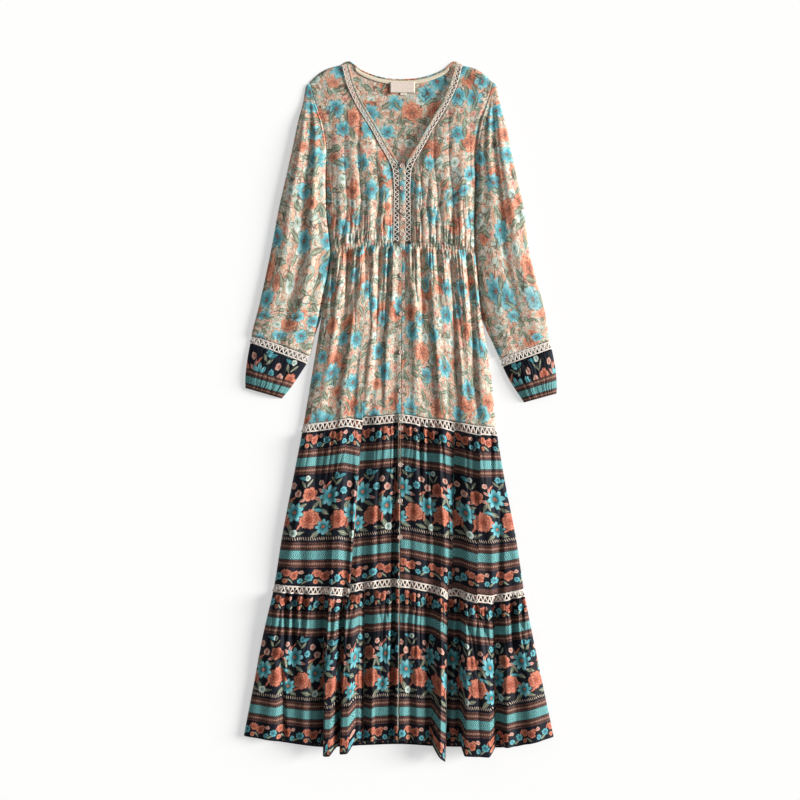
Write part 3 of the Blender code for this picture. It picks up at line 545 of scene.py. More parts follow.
def gathered(along, away, rows, seed):
    """Height of the gathers at `along` a seam and `away` from it, uneven in all they do."""
    rise = np.zeros(np.broadcast(along, away).shape)
    for k, gather in enumerate(rows):
        own = seed + 10 * k
        bend = 0.35 * gather.spacing * wander(away, 3.0 * gather.spacing, own)
        place = (along + bend) / gather.spacing
        place = place + 0.5 * wander(along, 2.1 * gather.spacing, own + 1)
        strength = 0.62 + 0.38 * wander(along, 2.9 * gather.spacing, own + 2)
        reach = gather.reach * (0.85 + 0.35 * wander(along, 1.7 * gather.spacing, own + 3))
        fade = unit(1 - away / reach) ** 0.8
        rise = rise + gather.height * strength * ridges(place) ** 0.6 * fade
    return rise * between(0.25, 1.0, unit(away / GATHER_ONSET))


def bent_to_waist(x, z, away, side_gap):
    """Bends the cloth on either side of the waist seam to one height, puckered by elastic."""
    place = x / PUCKER_SPACING + 0.5 * wander(x, 13.0, 77)
    pucker = ridges(place) ** 0.8 * (0.7 + 0.3 * wander(x, 21.0, 78))
    seam = FRONT + WALL + (WAIST_RISE + PUCKER_RISE * pucker) * rolled(side_gap, WAIST_ROLL)
    seam = seam - STITCH_DIP * bump(away / STITCH_HALF)
    return between(z, seam, bump(away / WAIST_REACH))


# --- Meshes ---


def finish_piece(obj, replaced=()):
    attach(obj, "root")
    if replaced:
        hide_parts(*replaced)
    return obj


def mesh_object(name, points, faces, maps, materials):
    """A smooth mesh object from points in millimetres, with one UV place for each point."""
    data = bpy.data.meshes.new(name)
    data.from_pydata((np.asarray(points) * MM).tolist(), [], faces)
    layer = data.uv_layers.new(name="cloth")
    corners = np.zeros(len(data.loops), int)
    data.loops.foreach_get("vertex_index", corners)
    layer.uv.foreach_set("vector", (np.asarray(maps) * MM)[corners].astype(np.float32).ravel())
    data.shade_smooth()
    for material in materials:
        data.materials.append(material)
    obj = bpy.data.objects.new(name, data)
    bpy.context.scene.collection.objects.link(obj)
    return obj


def cloth_piece(name, xyz, st, materials, faces_down=False, suffix="cloth"):
    """A thin shell on a grid of points, which takes the place of the solid of its name.

    The second material is the cloth's wrong side, which on the border print is painted near-black as
    shade.
    """
    rows, columns = xyz[0].shape
    points = np.stack(xyz, -1).reshape(-1, 3)
    maps = np.stack(np.broadcast_arrays(*st), -1).reshape(-1, 2)
    index = np.arange(rows * columns).reshape(rows, columns)
    quads = np.stack([index[:-1, :-1], index[1:, :-1], index[1:, 1:], index[:-1, 1:]], -1)
    obj = mesh_object(f"{name}_{suffix}", points, quads.reshape(-1, 4).tolist(), maps, materials)
    wall = obj.modifiers.new("wall", "SOLIDIFY")
    wall.thickness = THICK * MM
    wall.offset = 1.0 if faces_down else -1.0
    wall.use_quality_normals = True
    wall.material_offset = 1
    return finish_piece(obj, [name])


def closed_down(z, *distances):
    """Brings the edges of a front panel down to the back under it."""
    for distance in distances:
        z = z - CLOSE * (1 - rolled(np.maximum(distance, 0), CLOSE_REACH))
    return z


class Cords:
    """Tubes joined into one mesh."""

    def __init__(self):
        self.points, self.faces, self.maps = [], [], []
        self.count = 0

    def add(self, line, half_width, half_height, sides=6):
        """A flattened tube along a line of points, its ends closed."""
        line = np.asarray(line, float)
        run = np.gradient(line, axis=0)
        run /= np.linalg.norm(run, axis=1)[:, None] + 1e-12
        across = np.cross(run, (0, 0, 1.0))
        across /= np.linalg.norm(across, axis=1)[:, None] + 1e-12
        up = np.cross(across, run)
        half_width = np.broadcast_to(half_width, len(line))
        turns = np.linspace(0, 2 * np.pi, sides, endpoint=False)
        ring = (
            line[:, None]
            + across[:, None] * (np.cos(turns)[None, :, None] * half_width[:, None, None])
            + up[:, None] * (np.sin(turns)[None, :, None] * half_height)
        )
        self.points.append(ring.reshape(-1, 3))
        length = lengths_along(line.T)
        around = np.arange(sides) / sides * 4 * half_height
        maps = np.stack(np.broadcast_arrays(length[:, None], around[None, :]), -1)
        self.maps.append(maps.reshape(-1, 2))
        index = np.arange(len(line) * sides).reshape(len(line), sides) + self.count
        ahead = np.roll(index, -1, axis=1)
        quads = np.stack([index[:-1], index[1:], ahead[1:], ahead[:-1]], -1).reshape(-1, 4)
        self.faces += quads.tolist() + [index[0].tolist(), index[-1][::-1].tolist()]
        self.count += len(line) * sides

    def object(self, name, material):
        points, maps = np.concatenate(self.points), np.concatenate(self.maps)
        return mesh_object(name, points, self.faces, maps, [material])


def line_on(surface, along, up, lift):
    """Points of a surface in millimetres, raised by `lift`."""
    x, y, z = np.broadcast_arrays(*surface(np.asarray(along, float), np.asarray(up, float)))
    return np.stack([x, y, z + lift], -1)


def lace_piece(name, surface, repeats, height, border=1.6, cord=1.3):
    """A zigzag between two edge cords, with a knot wherever it turns, in a solid's place."""
    cords = Cords()
    fine = np.linspace(0, 1, repeats * 6 + 1)
    for level in (border * 0.9 / height, 1 - border * 0.9 / height):
        wobble = border * (1 + 0.10 * np.sin(np.arange(len(fine)) * 2.1))
        cords.add(line_on(surface, fine, level, 0.7), wobble, 0.75)
    turns = np.arange(2 * repeats + 1)
    dense = np.linspace(0, turns[-1], turns[-1] * ZIGZAG_STEPS + 1)
    low, high = border * 1.5 / height, 1 - border * 1.5 / height
    up = np.interp(dense, turns, np.where(turns % 2, high, low))
    near_turn = np.abs(dense - np.round(dense))
    width = cord * (1 + 0.9 * unit(1 - near_turn / 0.3))
    cords.add(line_on(surface, dense / turns[-1], up, 0.85), width, 0.7)
    return finish_piece(cords.object(f"{name}_cords", LACE), [name])


# --- Shader arithmetic ---


def linear(colour):
    """A hex colour as linear red, green, blue and alpha."""
    parts = [int(colour[i : i + 2], 16) / 255 for i in (1, 3, 5)]
    return (*(c / 12.92 if c <= 0.04045 else ((c + 0.055) / 1.055) ** 2.4 for c in parts), 1.0)


class Value:
    """A number or vector of a shader that takes arithmetic like a plain one."""

    nodes = None
    links = None

    def __init__(self, socket):
        self.socket = socket

    def __add__(self, other):
        return calculate("ADD", self, other)

    def __sub__(self, other):
        return calculate("SUBTRACT", self, other)

    def __rsub__(self, other):
        return calculate("SUBTRACT", other, self)

    def __mul__(self, other):
        return calculate("MULTIPLY", self, other)

    def __truediv__(self, other):
        return calculate("DIVIDE", self, other)

    __radd__ = __add__
    __rmul__ = __mul__


def plug(value, socket):
    if isinstance(value, Value):
        Value.links.new(value.socket, socket)
    elif isinstance(value, str):
        socket.default_value = linear(value)
    else:
        socket.default_value = value


def plug_all(node, inputs):
    for name, value in inputs.items():
        plug(value, node.inputs[name])


def node_of(kind, inputs=None, **settings):
    """A new shader node; `inputs` holds what goes into its sockets, by name or number."""
    node = Value.nodes.new(kind)
    for name, setting in settings.items():
        setattr(node, name, setting)
    plug_all(node, inputs or {})
    return node


def result(kind, inputs, output=0, **settings):
    return Value(node_of(kind, inputs, **settings).outputs[output])


def calculate(operation, *values, clamp=False):
    inputs = dict(enumerate(values))
    return result("ShaderNodeMath", inputs, operation=operation, use_clamp=clamp)


def vector_math(operation, *values):
    return result("ShaderNodeVectorMath", dict(enumerate(values)), operation=operation)


def scaled(vector, factor):
    return result("ShaderNodeVectorMath", {0: vector, "Scale": factor}, operation="SCALE")


def absolute(value):
    return calculate("ABSOLUTE", value)


def sine(value):
    return calculate("SINE", value)


def cosine(value):
    return calculate("COSINE", value)


def x_and_y(vector):
    outputs = node_of("ShaderNodeSeparateXYZ", {0: vector}).outputs
    return Value(outputs[0]), Value(outputs[1])


def random_parts(colour):
    return [Value(output) for output in node_of("ShaderNodeSeparateColor", {0: colour}).outputs]


def below(value, edge, soft):
    """1 where the value is under the edge and 0 where it is over it."""
    inputs = dict(enumerate((value, edge - soft, edge + soft, 1.0, 0.0)))
    return result("ShaderNodeMapRange", inputs, interpolation_type="SMOOTHSTEP")


def mixed(under, over, share):
    return result("ShaderNodeMix", {0: share, 6: under, 7: over}, 2, data_type="RGBA")


def ramp(value, *stops):
    node = node_of("ShaderNodeValToRGB", {0: value})
    elements = node.color_ramp.elements
    for i, (place, colour) in enumerate(stops):
        place = min(place, 1.0)
        element = elements[i] if i < 2 else elements.new(place)
        element.position = place
        element.color = linear(colour)
    return Value(node.outputs[0])


def noise(vector, scale, detail=1.0, output=0):
    inputs = {"Vector": vector, "Scale": scale, "Detail": detail}
    return result("ShaderNodeTexNoise", inputs, output, noise_dimensions="2D")


def flat_cloth():
    """The cloth's own flat coordinates in millimetres."""
    return scaled(result("ShaderNodeUVMap", {}, uv_map="cloth"), 1 / MM)


def bump_into(shader, height, strength, distance):
    inputs = {"Strength": strength, "Distance": distance, "Height": height}
    plug(result("ShaderNodeBump", inputs), shader.inputs["Normal"])


# --- Printed motifs ---

# A flower's petals, and its colours from its middle to its edge.
Petals = namedtuple("Petals", "count notch power jag stops")
BLOOMS = {
    "daisy": Petals(8, 0.5, 0.75, 0.0, (
        (0.0, CORAL_DEEP), (0.10, CORAL_PALE), (0.17, BARK), (0.24, TURQUOISE_DEEP),
        (0.5, TURQUOISE), (0.84, TURQUOISE_PALE), (1.0, TURQUOISE))),
    "mallow": Petals(6, 0.28, 0.6, 0.03, (
        (0.0, BARK), (0.12, RUST_DEEP), (0.35, RUST), (0.52, RUST_DEEP), (0.60, RUST),
        (0.9, RUST_PALE), (1.0, RUST))),
    "carnation": Petals(7, 0.16, 0.7, 0.05, (
        (0.0, RUST_DEEP), (0.2, RUST), (0.33, RUST_DEEP), (0.39, RUST), (0.58, RUST_PALE),
        (0.64, RUST_DEEP), (0.72, RUST), (0.94, RUST_PALE), (1.0, RUST))),
    "blue": Petals(7, 0.40, 0.6, 0.035, (
        (0.0, CORAL_DEEP), (0.09, BARK), (0.17, TURQUOISE_DEEP), (0.34, "#4FA9B6"),
        (0.45, "#34808E"), (0.53, "#4FA9B6"), (0.80, TURQUOISE_PALE), (0.94, "#5CB0BA"),
        (1.04, "#4B7573"))),
    "coral": Petals(6, 0.15, 0.6, 0.03, (
        (0.0, BARK), (0.10, CORAL_DEEP), (0.24, CORAL), (0.38, CORAL_DEEP), (0.46, CORAL),
        (0.66, CORAL_PALE), (0.72, CORAL_DEEP), (0.80, CORAL), (1.0, CORAL_PALE), (1.04, BARK))),
    "mint": Petals(5, 0.24, 0.6, 0.0, (
        (0.0, OLIVE), (0.12, SAGE), (0.4, MINT), (0.88, WHITE), (1.0, SAGE))),
    "pink": Petals(5, 0.28, 0.6, 0.0, (
        (0.0, CORAL_DEEP), (0.2, PINK), (0.85, BLUSH), (1.0, CORAL_DEEP))),
}
LEAVES = {
    "leaf": ((CREAM, OLIVE, SAGE), (BLUSH, SAGE, BARK)),
    "spray": ((BLUSH, RUST, RUST_DEEP), (RUST_DEEP, PINK, BLUSH)),
    "tealleaf": ((TURQUOISE_PALE, TURQUOISE_DEEP, TURQUOISE), (MINT, TURQUOISE, TURQUOISE_DEEP)),
    "sprig": ((CREAM, SAGE, OLIVE), (CREAM, SAGE, OLIVE)),
}


def flower(ground, x, y, radius, petals, turn=0.0, show=None, soft=0.04):
    """Paints a flower over the ground, its middle where x and y are zero."""
    angle = calculate("ARCTAN2", y, x) + turn
    lobe = calculate("POWER", absolute(cosine(angle * (petals.count / 2))), petals.power)
    reach = lobe * petals.notch + (1.0 - petals.notch)
    if petals.jag:
        reach = reach + cosine(angle * 23.0) * petals.jag
    share = calculate("SQRT", x * x + y * y) / (reach * radius)
    tone = share + lobe * 0.34 - 0.30
    if petals.jag:
        tone = tone + sine(angle * 9.0 + share * 5.0) * 0.09
    mask = below(share, 1.0, soft)
    return mixed(ground, ramp(tone, *petals.stops), mask if show is None else mask * show)


def leaf(ground, x, y, length, width, colours, turn=0.0, show=None, soft=0.12):
    """Paints a pointed leaf with a pale rib along `turn`."""
    if isinstance(turn, Value):
        along, aside = cosine(turn), sine(turn)
    else:
        along, aside = math.cos(turn), math.sin(turn)
    down = x * along + y * aside
    across = absolute(y * along - x * aside) / width
    mask = below(down * down / length**2 + across, 1.0, soft)
    tones = ramp(across, (0.0, colours[0]), (0.18, colours[1]), (1.0, colours[2]))
    return mixed(ground, tones, mask if show is None else mask * show)


def moved(cloth, shift):
    """Another part of the endless random patterns."""
    return vector_math("ADD", cloth, (shift, 0.37 * shift, 0.0))


def cells_on(vector, spacing, spread=1.0, feature="F1"):
    """Outputs of a random pattern of cells about `spacing` apart."""
    inputs = {"Vector": vector, "Scale": 1 / spacing, "Randomness": spread}
    settings = {"voronoi_dimensions": "2D", "feature": feature}
    return node_of("ShaderNodeTexVoronoi", inputs, **settings).outputs


def scattered(cloth, spacing, shift, spread=0.85):
    """Place about the nearest of many scattered middles, and three random numbers there."""
    place = moved(cloth, shift)
    cells = cells_on(place, spacing, spread)
    x, y = x_and_y(vector_math("SUBTRACT", place, Value(cells["Position"])))
    return x, y, random_parts(Value(cells["Color"]))


def repeated(place, middle, period):
    """Place about a middle that comes again every `period` along the cloth."""
    return calculate("WRAP", place - middle, period / 2, -period / 2)


def swaying(flat, sway):
    """Places that waver by up to half of `sway`, like hand painting."""
    offset = vector_math("SUBTRACT", noise(flat, 0.08, 2.0, output=1), (0.5, 0.5, 0.5))
    return vector_math("MULTIPLY_ADD", offset, (sway, sway, 0.0), flat)


def small_petals(cloth, spacing, shift):
    """Petals packed side by side in soft random tones, each with a fine dark outline."""
    place = moved(cloth, shift)
    tone = random_parts(Value(cells_on(place, spacing)["Color"]))[0]
    off = Value(cells_on(place, spacing, feature="DISTANCE_TO_EDGE")["Distance"])
    colour = ramp(tone + off * 0.5, (0.05, "#8F9A86"), (0.20, "#C0BEAA"), (0.34, CREAM),
                  (0.50, "#E5C9B4"), (0.64, "#DBA98D"), (0.76, "#C58D73"), (0.88, "#DCCFC0"),
                  (1.0, "#A9BDB2"))
    return mixed(colour, "#7C6B59", below(off, 0.045, 0.06) * 0.62)


# What is strewn over the light print, from the lowest layer up, though the last leaves lie over
# the flowers. `share` is the share of places that get a motif; a flower's size is `least` and up
# to `more` on top.
STREWN_LEAVES = table(
    "spacing shift length width tones share strength",
    (15, 140, 7.0, 2.7, (CREAM, PEACH, "#B08067"), 0.55, 0.9),
    (22, 910, 11.0, 4.2, (MINT, SAGE, OLIVE), 0.65, 0.9),
    (31, 250, 15.0, 5.0, ("#A5B09A", "#7C8A74", BARK), 0.6, 0.88),
)
STREWN_FLOWERS = table(
    "spacing shift least more kind share",
    (27, 530, 5.5, 2.5, "pink", 0.5), (40, 60, 8.5, 4.0, "mint", 0.35),
    (52, 810, 10.0, 4.0, "coral", 0.2), (74, 640, 18.0, 5.0, "coral", 0.6),
    (62, 380, 15.0, 8.0, "blue", 0.95),
)


def strewn_leaves(colour, cloth, row):
    x, y, chance = scattered(cloth, row.spacing, row.shift)
    show = below(chance[1], row.share, 0.01) * row.strength
    return leaf(colour, x, y, row.length, row.width, row.tones, chance[0] * math.tau, show)


def strewn_flowers(colour, cloth, row):
    x, y, chance = scattered(cloth, row.spacing, row.shift, 0.8)
    show = below(chance[1], row.share, 0.01) * 0.9
    size = chance[2] * row.more + row.least
    return flower(colour, x, y, size, BLOOMS[row.kind], chance[0] * math.tau, show, 0.09)


def winding_stems(colour, cloth, spacing, tone, width, share):
    """Thin lines where a slow noise crosses its middle."""
    off = absolute(noise(cloth, 1 / spacing) - 0.5)
    return mixed(colour, tone, below(off, width, width / 2) * share)


def floral_colour(cloth):
    """The light print: flowers, leaves and winding stems strewn thickly on small petals."""
    colour = small_petals(cloth, 6.2, 400)
    for row in STREWN_LEAVES[:2]:
        colour = strewn_leaves(colour, cloth, row)
    colour = winding_stems(colour, cloth, 14, "#6F6352", 0.016, 0.8)
    for row in STREWN_FLOWERS:
        colour = strewn_flowers(colour, cloth, row)
    colour = strewn_leaves(colour, cloth, STREWN_LEAVES[2])
    return winding_stems(colour, cloth, 34, BARK, 0.010, 0.7)


# The bouquets' own layout, painted in this order: each motif's kind, its middle along the repeat
# and down from the stripe's top edge, its radius and how it is turned.
REPEAT = 122.0
DASH_REPEAT, DASHES_DOWN = 4.4, 131.0
MOTIF = "kind s t size turn"
BOUQUET = table(
    MOTIF,
    ("leaf", 18, 22, 9, 0.9), ("leaf", 31, 19, 9, 2.2), ("leaf", 82, 17, 9, 0.7),
    ("leaf", 94, 21, 9, 2.4), ("leaf", 57, 58, 13, 1.2), ("leaf", 50, 62, 11, 2.2),
    ("leaf", 116, 64, 13, 2.0), ("leaf", 90, 70, 12, 0.4), ("leaf", 20, 66, 12, 2.7),
    ("leaf", 68, 78, 12, 0.5), ("leaf", 4, 112, 13, 1.1), ("leaf", 82, 122, 11, 0.3),
    ("leaf", 24, 120, 11, 2.9), ("leaf", 56, 122, 12, 2.5), ("leaf", 114, 120, 12, 0.2),
    ("spray", 63, 31, 9, 1.5), ("spray", 70, 24, 8, 2.3), ("spray", 57, 36, 8, 0.5),
    ("spray", 21, 54, 9, 2.8), ("spray", 49, 51, 9, 0.4), ("spray", 95, 58, 9, 0.2),
    ("spray", 118, 52, 9, 2.6), ("spray", 120, 100, 10, 1.7), ("spray", 62, 94, 9, 0.9),
    ("spray", 22, 106, 9, 2.2), ("spray", 90, 112, 9, 2.7), ("tealleaf", 14, 10, 10, 0.3),
    ("tealleaf", 98, 10, 10, 2.7), ("tealleaf", 55, 74, 12, 0.2), ("tealleaf", 118, 86, 11, 2.9),
    ("mint", 24, 9, 6, 0.0), ("blue", 88, 8, 7, 0.5), ("pink", 55, 20, 6, 1.0),
    ("pink", 117, 24, 7, 0.2), ("pink", 8, 40, 8, 0.4), ("blue", 106, 38, 8, 0.9),
    ("mallow", 34, 42, 15, 0.3),
    ("daisy", 76, 47, 21, 0.1), ("carnation", 40, 92, 20, 0.6), ("daisy", 8, 78, 20, 0.5),
    ("carnation", 100, 94, 18.5, 0.2), ("daisy", 70, 108, 16, 0.8), ("mint", 12, 120, 8, 0.0),
)

# The narrow rows' layout: the same, from a row's middle.
ROW_REPEAT = 58.0
ROW = table(
    MOTIF,
    ("spray", 8, -9, 7.0, 0.5), ("sprig", 23, 10, 7.0, 2.4), ("spray", 36, -10, 7.0, 2.2),
    ("sprig", 51, 9, 7.0, 0.8), ("mallow", 0, -2, 9.0, 0.3), ("blue", 29, 1, 8.0, 0.9),
    ("pink", 15, -9, 4.5, 0.0), ("coral", 42, 9, 5.0, 0.4), ("blue", 14, 8, 5.5, 0.2),
    ("carnation", 44, -7, 7.5, 0.7),
)


def on_navy(s, t, wave, motifs, period, slimness):
    """Motifs on navy that come again every `period`; `slimness` is a leaf's width to its length."""
    colour = mixed(NAVY, NAVY_PALE, sine(s * wave) * 0.5 + 0.5)
    for motif in motifs:
        place = repeated(s, motif.s, period), t - motif.t
        if motif.kind in LEAVES:
            tones = LEAVES[motif.kind][int(motif.s) % 2]
            colour = leaf(colour, *place, motif.size, slimness * motif.size, tones, motif.turn)
        else:
            colour = flower(colour, *place, motif.size, BLOOMS[motif.kind], motif.turn)
    return colour


def bouquets(s, t):
    """The wide band, t down from the stripe's top edge, over a row of short dashes."""
    colour = on_navy(s, t, 0.11, BOUQUET, REPEAT, 0.34)
    dash_s, dash_t = repeated(s, 0.0, DASH_REPEAT), t - DASHES_DOWN
    return leaf(colour, dash_s, dash_t, 3.8, 0.9, (BLUSH, BLUSH, SAGE), 1.2)


def blossoms(s, t):
    """A narrow row of small flowers, t from its middle."""
    return on_navy(s, t, 0.17, ROW, ROW_REPEAT, 2.4 / 7.0)


def off_nearest(t, upper, lower):
    """How far t is from the nearer of two lines across the border print."""
    return t - (calculate("GREATER_THAN", t, UPPER_HALF_END) * (lower - upper) + upper)


def border_colour(painted, flat):
    """The border print: stripes across the cloth between rows of flowers."""
    s, t = x_and_y(painted)
    rows = 1.0 - below(absolute(t - PRINT_MIDDLE), BOUQUETS_HALF, 0.3)
    row_colour = blossoms(s, off_nearest(t, ROW_UPPER, ROW_LOWER))
    colour = mixed(bouquets(s, t - BOUQUETS_TOP), row_colour, rows)
    s, t = x_and_y(flat)
    off = absolute(off_nearest(t, STRIPE_UPPER, STRIPE_LOWER))
    past_end = 1.0 - below(t, PRINT_LENGTH + 1.0, 0.3)
    speckle = noise(flat, 0.45)
    brown = ramp(speckle, (0.36, "#432B28"), (0.68, "#7E594F"))
    colour = mixed(colour, brown, calculate("MAXIMUM", below(off, EDGE_HALF, 0.3), past_end))
    edge = absolute(off - EDGE_MIDDLE)
    colour = mixed(colour, NAVY, below(absolute(edge - EDGE_LINES), 0.7, 0.3) * 0.8)
    dash = below(absolute(repeated(s, 0.0, 4.0)), 1.1, 0.3) * below(edge, 1.4, 0.3)
    colour = mixed(colour, "#D9A68C", dash * 0.6)
    lattice = sine(s * 1.5) * sine(off * 1.5)
    mottle = ramp(lattice * 0.6 + speckle, (0.1, "#2F5A60"), (0.5, "#66A3A3"),
                  (0.85, STRIPE_TURQUOISE))
    colour = mixed(colour, mottle, below(off, STRIPE_HALF, 0.3))
    colour = mixed(colour, NAVY, below(absolute(off - STRIPE_HALF), 0.8, 0.3) * 0.85)
    return mixed(colour, BLACK, 0.24)


# --- Materials ---


def new_material(name, roughness, sheen=0.0, specular=0.5):
    material = bpy.data.materials.new(name)
    material.use_nodes = True
    Value.nodes, Value.links = material.node_tree.nodes, material.node_tree.links
    shader = Value.nodes["Principled BSDF"]
    plug_all(shader, {"Roughness": roughness, "Sheen Weight": sheen, "Sheen Roughness": 0.4,
                      "Specular IOR Level": specular})
    return material, shader


def print_material(kind, reverse):
    """Printed viscose, with fine weave and soft crinkles as bump; the border print's wrong side is
    painted near-black as shade.
    """
    name = f"{kind}_print_{'reverse' if reverse else 'face'}"
    floral = kind == "floral"
    material, shader = new_material(name, 0.62, specular=0.2 if floral else 0.12)
    flat = flat_cloth()
    if floral:
        colour = floral_colour(swaying(flat, 9.0))
        colour = mixed(colour, "#B5A896", 0.3) if reverse else colour
    elif reverse:
        # Painted shade: the border print's wrong side is a dark mottle standing for the shade inside the
        # dress, seen through the lace holes.
        colour = ramp(noise(flat, 0.15, 2.0), (0.35, "#121218"), (0.65, "#2B2325"))
    else:
        colour = border_colour(swaying(flat, 4.0), flat)
    plug(colour, shader.inputs["Base Color"])
    s, t = x_and_y(flat)
    weave = sine(s * 9.0) * sine(t * 9.0)
    crinkle = noise(vector_math("MULTIPLY", flat, (1.0, 0.35, 1.0)), 1 / 9, 2.0)
    bump_into(shader, weave * 0.03 + crinkle * 0.7, 0.25, MM)
    return material


def cord_material(name, colour, dark):
    """Cotton cord: plied yarn, darker in the ply's hollows as painted shade and mottled at random."""
    material, shader = new_material(name, 0.8, sheen=0.2, specular=0.3)
    flat = flat_cloth()
    s, t = x_and_y(flat)
    ply = sine(s * 5.0 + t * 2.5)
    # Painted shade: the dark colour follows the ply's bump into its hollows; the noise adds random
    # mottle.
    share = calculate("MULTIPLY_ADD", ply, 0.18, noise(flat, 1.2, 2.0) + 0.25, clamp=True)
    plug(mixed(dark, colour, share), shader.inputs["Base Color"])
    bump_into(shader, ply, 0.4, 0.3 * MM)
    return material


def pearl_material():
    material, shader = new_material("button_pearl", 0.28)
    place = Value(node_of("ShaderNodeTexCoord").outputs["Object"])
    swirl = noise(scaled(place, 300.0), 2.0, 2.0)
    tones = ramp(swirl, (0.3, "#B39084"), (0.6, "#CBB0A3"), (0.8, "#DCCBC1"))
    plug_all(shader, {"Base Color": tones, "Coat Weight": 0.4})
    return material


FLORAL = [print_material("floral", False), print_material("floral", True)]
# The border's second material is painted shade, not a print.
BORDER = [print_material("border", False), print_material("border", True)]
LACE = cord_material("lace_cotton", LACE_CREAM, "#B3A294")
TAPE = cord_material("neck_tape_cotton", "#E9DDC8", "#CDB997")
LABEL = cord_material("label_satin", "#EADCD0", "#DCC8BA")
PEARL = pearl_material()


# --- The dress ---

SIDES = ((-1, "left"), (1, "right"))

# One tier of the skirt: `full` is how much wider its cloth is than the tier shows at half its
# height, besides what its creases fold away; `cut` is the declared width of one front; the print
# runs a little further down on the right.
TIERS = table(
    "name top foot columns rows full cut gathers prints slot print_left print_right",
    ("skirt_upper", -WAIST_LAP / TIER_LENGTH, 1 - BAND - BAND_SEAM, 200, 88, 1.45, 235,
     WAIST_GATHERS, FLORAL, "floral_print", 335, 335),
    ("skirt_middle", 1 + BAND + BAND_SEAM, 2 - BAND - BAND_SEAM, 215, 80, 1.0, 300,
     MIDDLE_GATHERS, BORDER, "border_print", 309, 320),
    ("skirt_lower", 2 + BAND + BAND_SEAM, 3.0, 255, 84, 1.15, 410,
     LOWER_GATHERS, BORDER, "border_print", 308, 309),
)


def skirt_ends(side):
    return (-1, -SLIT) if side < 0 else (SLIT, 1)


def skirt_front(u, w, tier, seed):
    """Points of a tier's front and how much of its cloth is folded away there."""
    x, y, z, hidden = shown_skirt(u, w)
    half = skirt_half(u, w)
    away = (w - tier.top) * TIER_LENGTH
    rise = gathered(u * skirt_half(u, tier.top) + 1000, away, tier.gathers, seed)
    rise = rise * unit((np.abs(u) * half - OPENING_FLAT) / OPENING_REACH)
    rise = rise * np.clip(1 + creased(skirt(u, w)[0], w)[0] / 9, 0.15, 1)
    side_gap = (1 - np.abs(u)) * half
    z = closed_down(z + WALL + rise * rolled(side_gap, GATHER_ROLL), side_gap)
    if tier.top < 0:
        z = bent_to_waist(x, z, w * TIER_LENGTH, side_gap)
    return (x, y, z), hidden


def make_tier_front(tier, side, side_name, seed):
    ends = skirt_ends(side)
    dense = np.linspace(*ends, DENSE)
    across = between(*ends, even_places(shown_skirt(dense, tier.foot)[:3], tier.columns))
    u, q = np.meshgrid(across, np.linspace(0, 1, tier.rows + 1) ** 1.1)
    xyz, hidden = skirt_front(u, between(tier.top, tier.foot, q), tier, seed)
    x, _, z = skirt(across, 0.5 * (tier.top + tier.foot))
    s = lengths_along((x, z)) * tier.full
    length = tier.print_left if side < 0 else tier.print_right
    st = (s[None, :] + hidden + PRINT_SHIFT * side, q * length)
    obj = cloth_piece(f"{tier.name}_{side_name}", xyz, st, tier.prints)


def make_tier_back(tier):
    u, q = net((-1, 1, 121), (0, 1, 31))
    xyz = skirt_back(u, between(tier.top, tier.foot, q))
    st = (xyz[0] * tier.full * 1.1 + 4 * PRINT_SHIFT, q * tier.print_left)
    obj = cloth_piece(f"{tier.name}_back", xyz, st, tier.prints, True)


def make_skirt():
    for number, tier in enumerate(TIERS):
        for side, side_name in SIDES:
            make_tier_front(tier, side, side_name, 100 * number + 7 * side + 50)
        make_tier_back(tier)


def make_skirt_laces():
    for name, middle in (("lace_upper", 1), ("lace_lower", 2)):
        for side, side_name in SIDES:
            ends = skirt_ends(side)
            line = shown_skirt(np.linspace(*ends, DENSE), middle)[:3]
            places = between(*ends, even_places(line, 800))

            def laid(along, up):
                place = np.interp(along, np.linspace(0, 1, len(places)), places)
                return shown_skirt(place, middle + BAND * (1 - 2 * up))[:3]

            repeats = round(lengths_along(line)[-1] / LACE_REPEAT)
            lace_piece(f"{name}_{side_name}", laid, repeats, LACE_BAND)

        def laid_back(along, up):
            return skirt_back(2 * along - 1, middle + BAND * (1 - 2 * up))

        repeats = round(2 * float(skirt_half(1.0, middle)) / LACE_REPEAT)
        lace_piece(f"{name}_back", laid_back, repeats, LACE_BAND)


def make_bodice_front(side, side_name):
    reach = 1 + WAIST_LAP / BODICE_LENGTH
    u, v = net((-BODY_LAP / BODICE_WIDTH, 1, 135), (0, reach, 106))
    if side > 0:
        u = u[:, ::-1]
    x, y, z = bodice_front(u, v, side)
    armhole, joined = u * BODICE_WIDTH, 1 - armhole_open(y)
    rise = gathered(x + 1000, (reach - v) * BODICE_LENGTH, BODICE_GATHERS, 400 + 20 * side)
    rise = rise * unit(np.minimum(u, 1 - u) * BODICE_WIDTH / 8)
    loose = closed_down(z + WALL + rise, v * BODICE_LENGTH)
    z = between(loose, closed_down(loose, armhole), armhole_open(y))
    z = z - (1.5 * v + 0.2) * bump(armhole / 14) * joined
    z = bent_to_waist(x, z, (1 - v) * BODICE_LENGTH, armhole)
    st = ((x - 75 * side) * (1.0 + 0.55 * v**1.5) + 300 * side, -y)
    obj = cloth_piece(f"bodice_front_{side_name}", (x, y, z), st, FLORAL)


def make_neck_edge(side, side_name):
    """The neck lace and the strip of print inside it."""

    def trim(a, b):
        return neck_strip(side, NECK_LACE_FOOT, "lace", "outer", a, b)

    lace_piece(f"neck_lace_{side_name}", trim, 38, NECK_LACE_BAND, 1.0, 0.8)
    b, a = np.meshgrid(np.linspace(0, 1, 7)[::side], np.linspace(0, 1, 70))
    x, y, z = neck_strip(side, NECK_BAND_FOOT, "inner", "lace", a, b)
    z = z + WALL + 0.6 * (1 - (2 * b - 1) ** 2)
    obj = cloth_piece(f"neck_band_{side_name}", (x, y, z), (7 * b + 5300, -y), FLORAL[::-1])


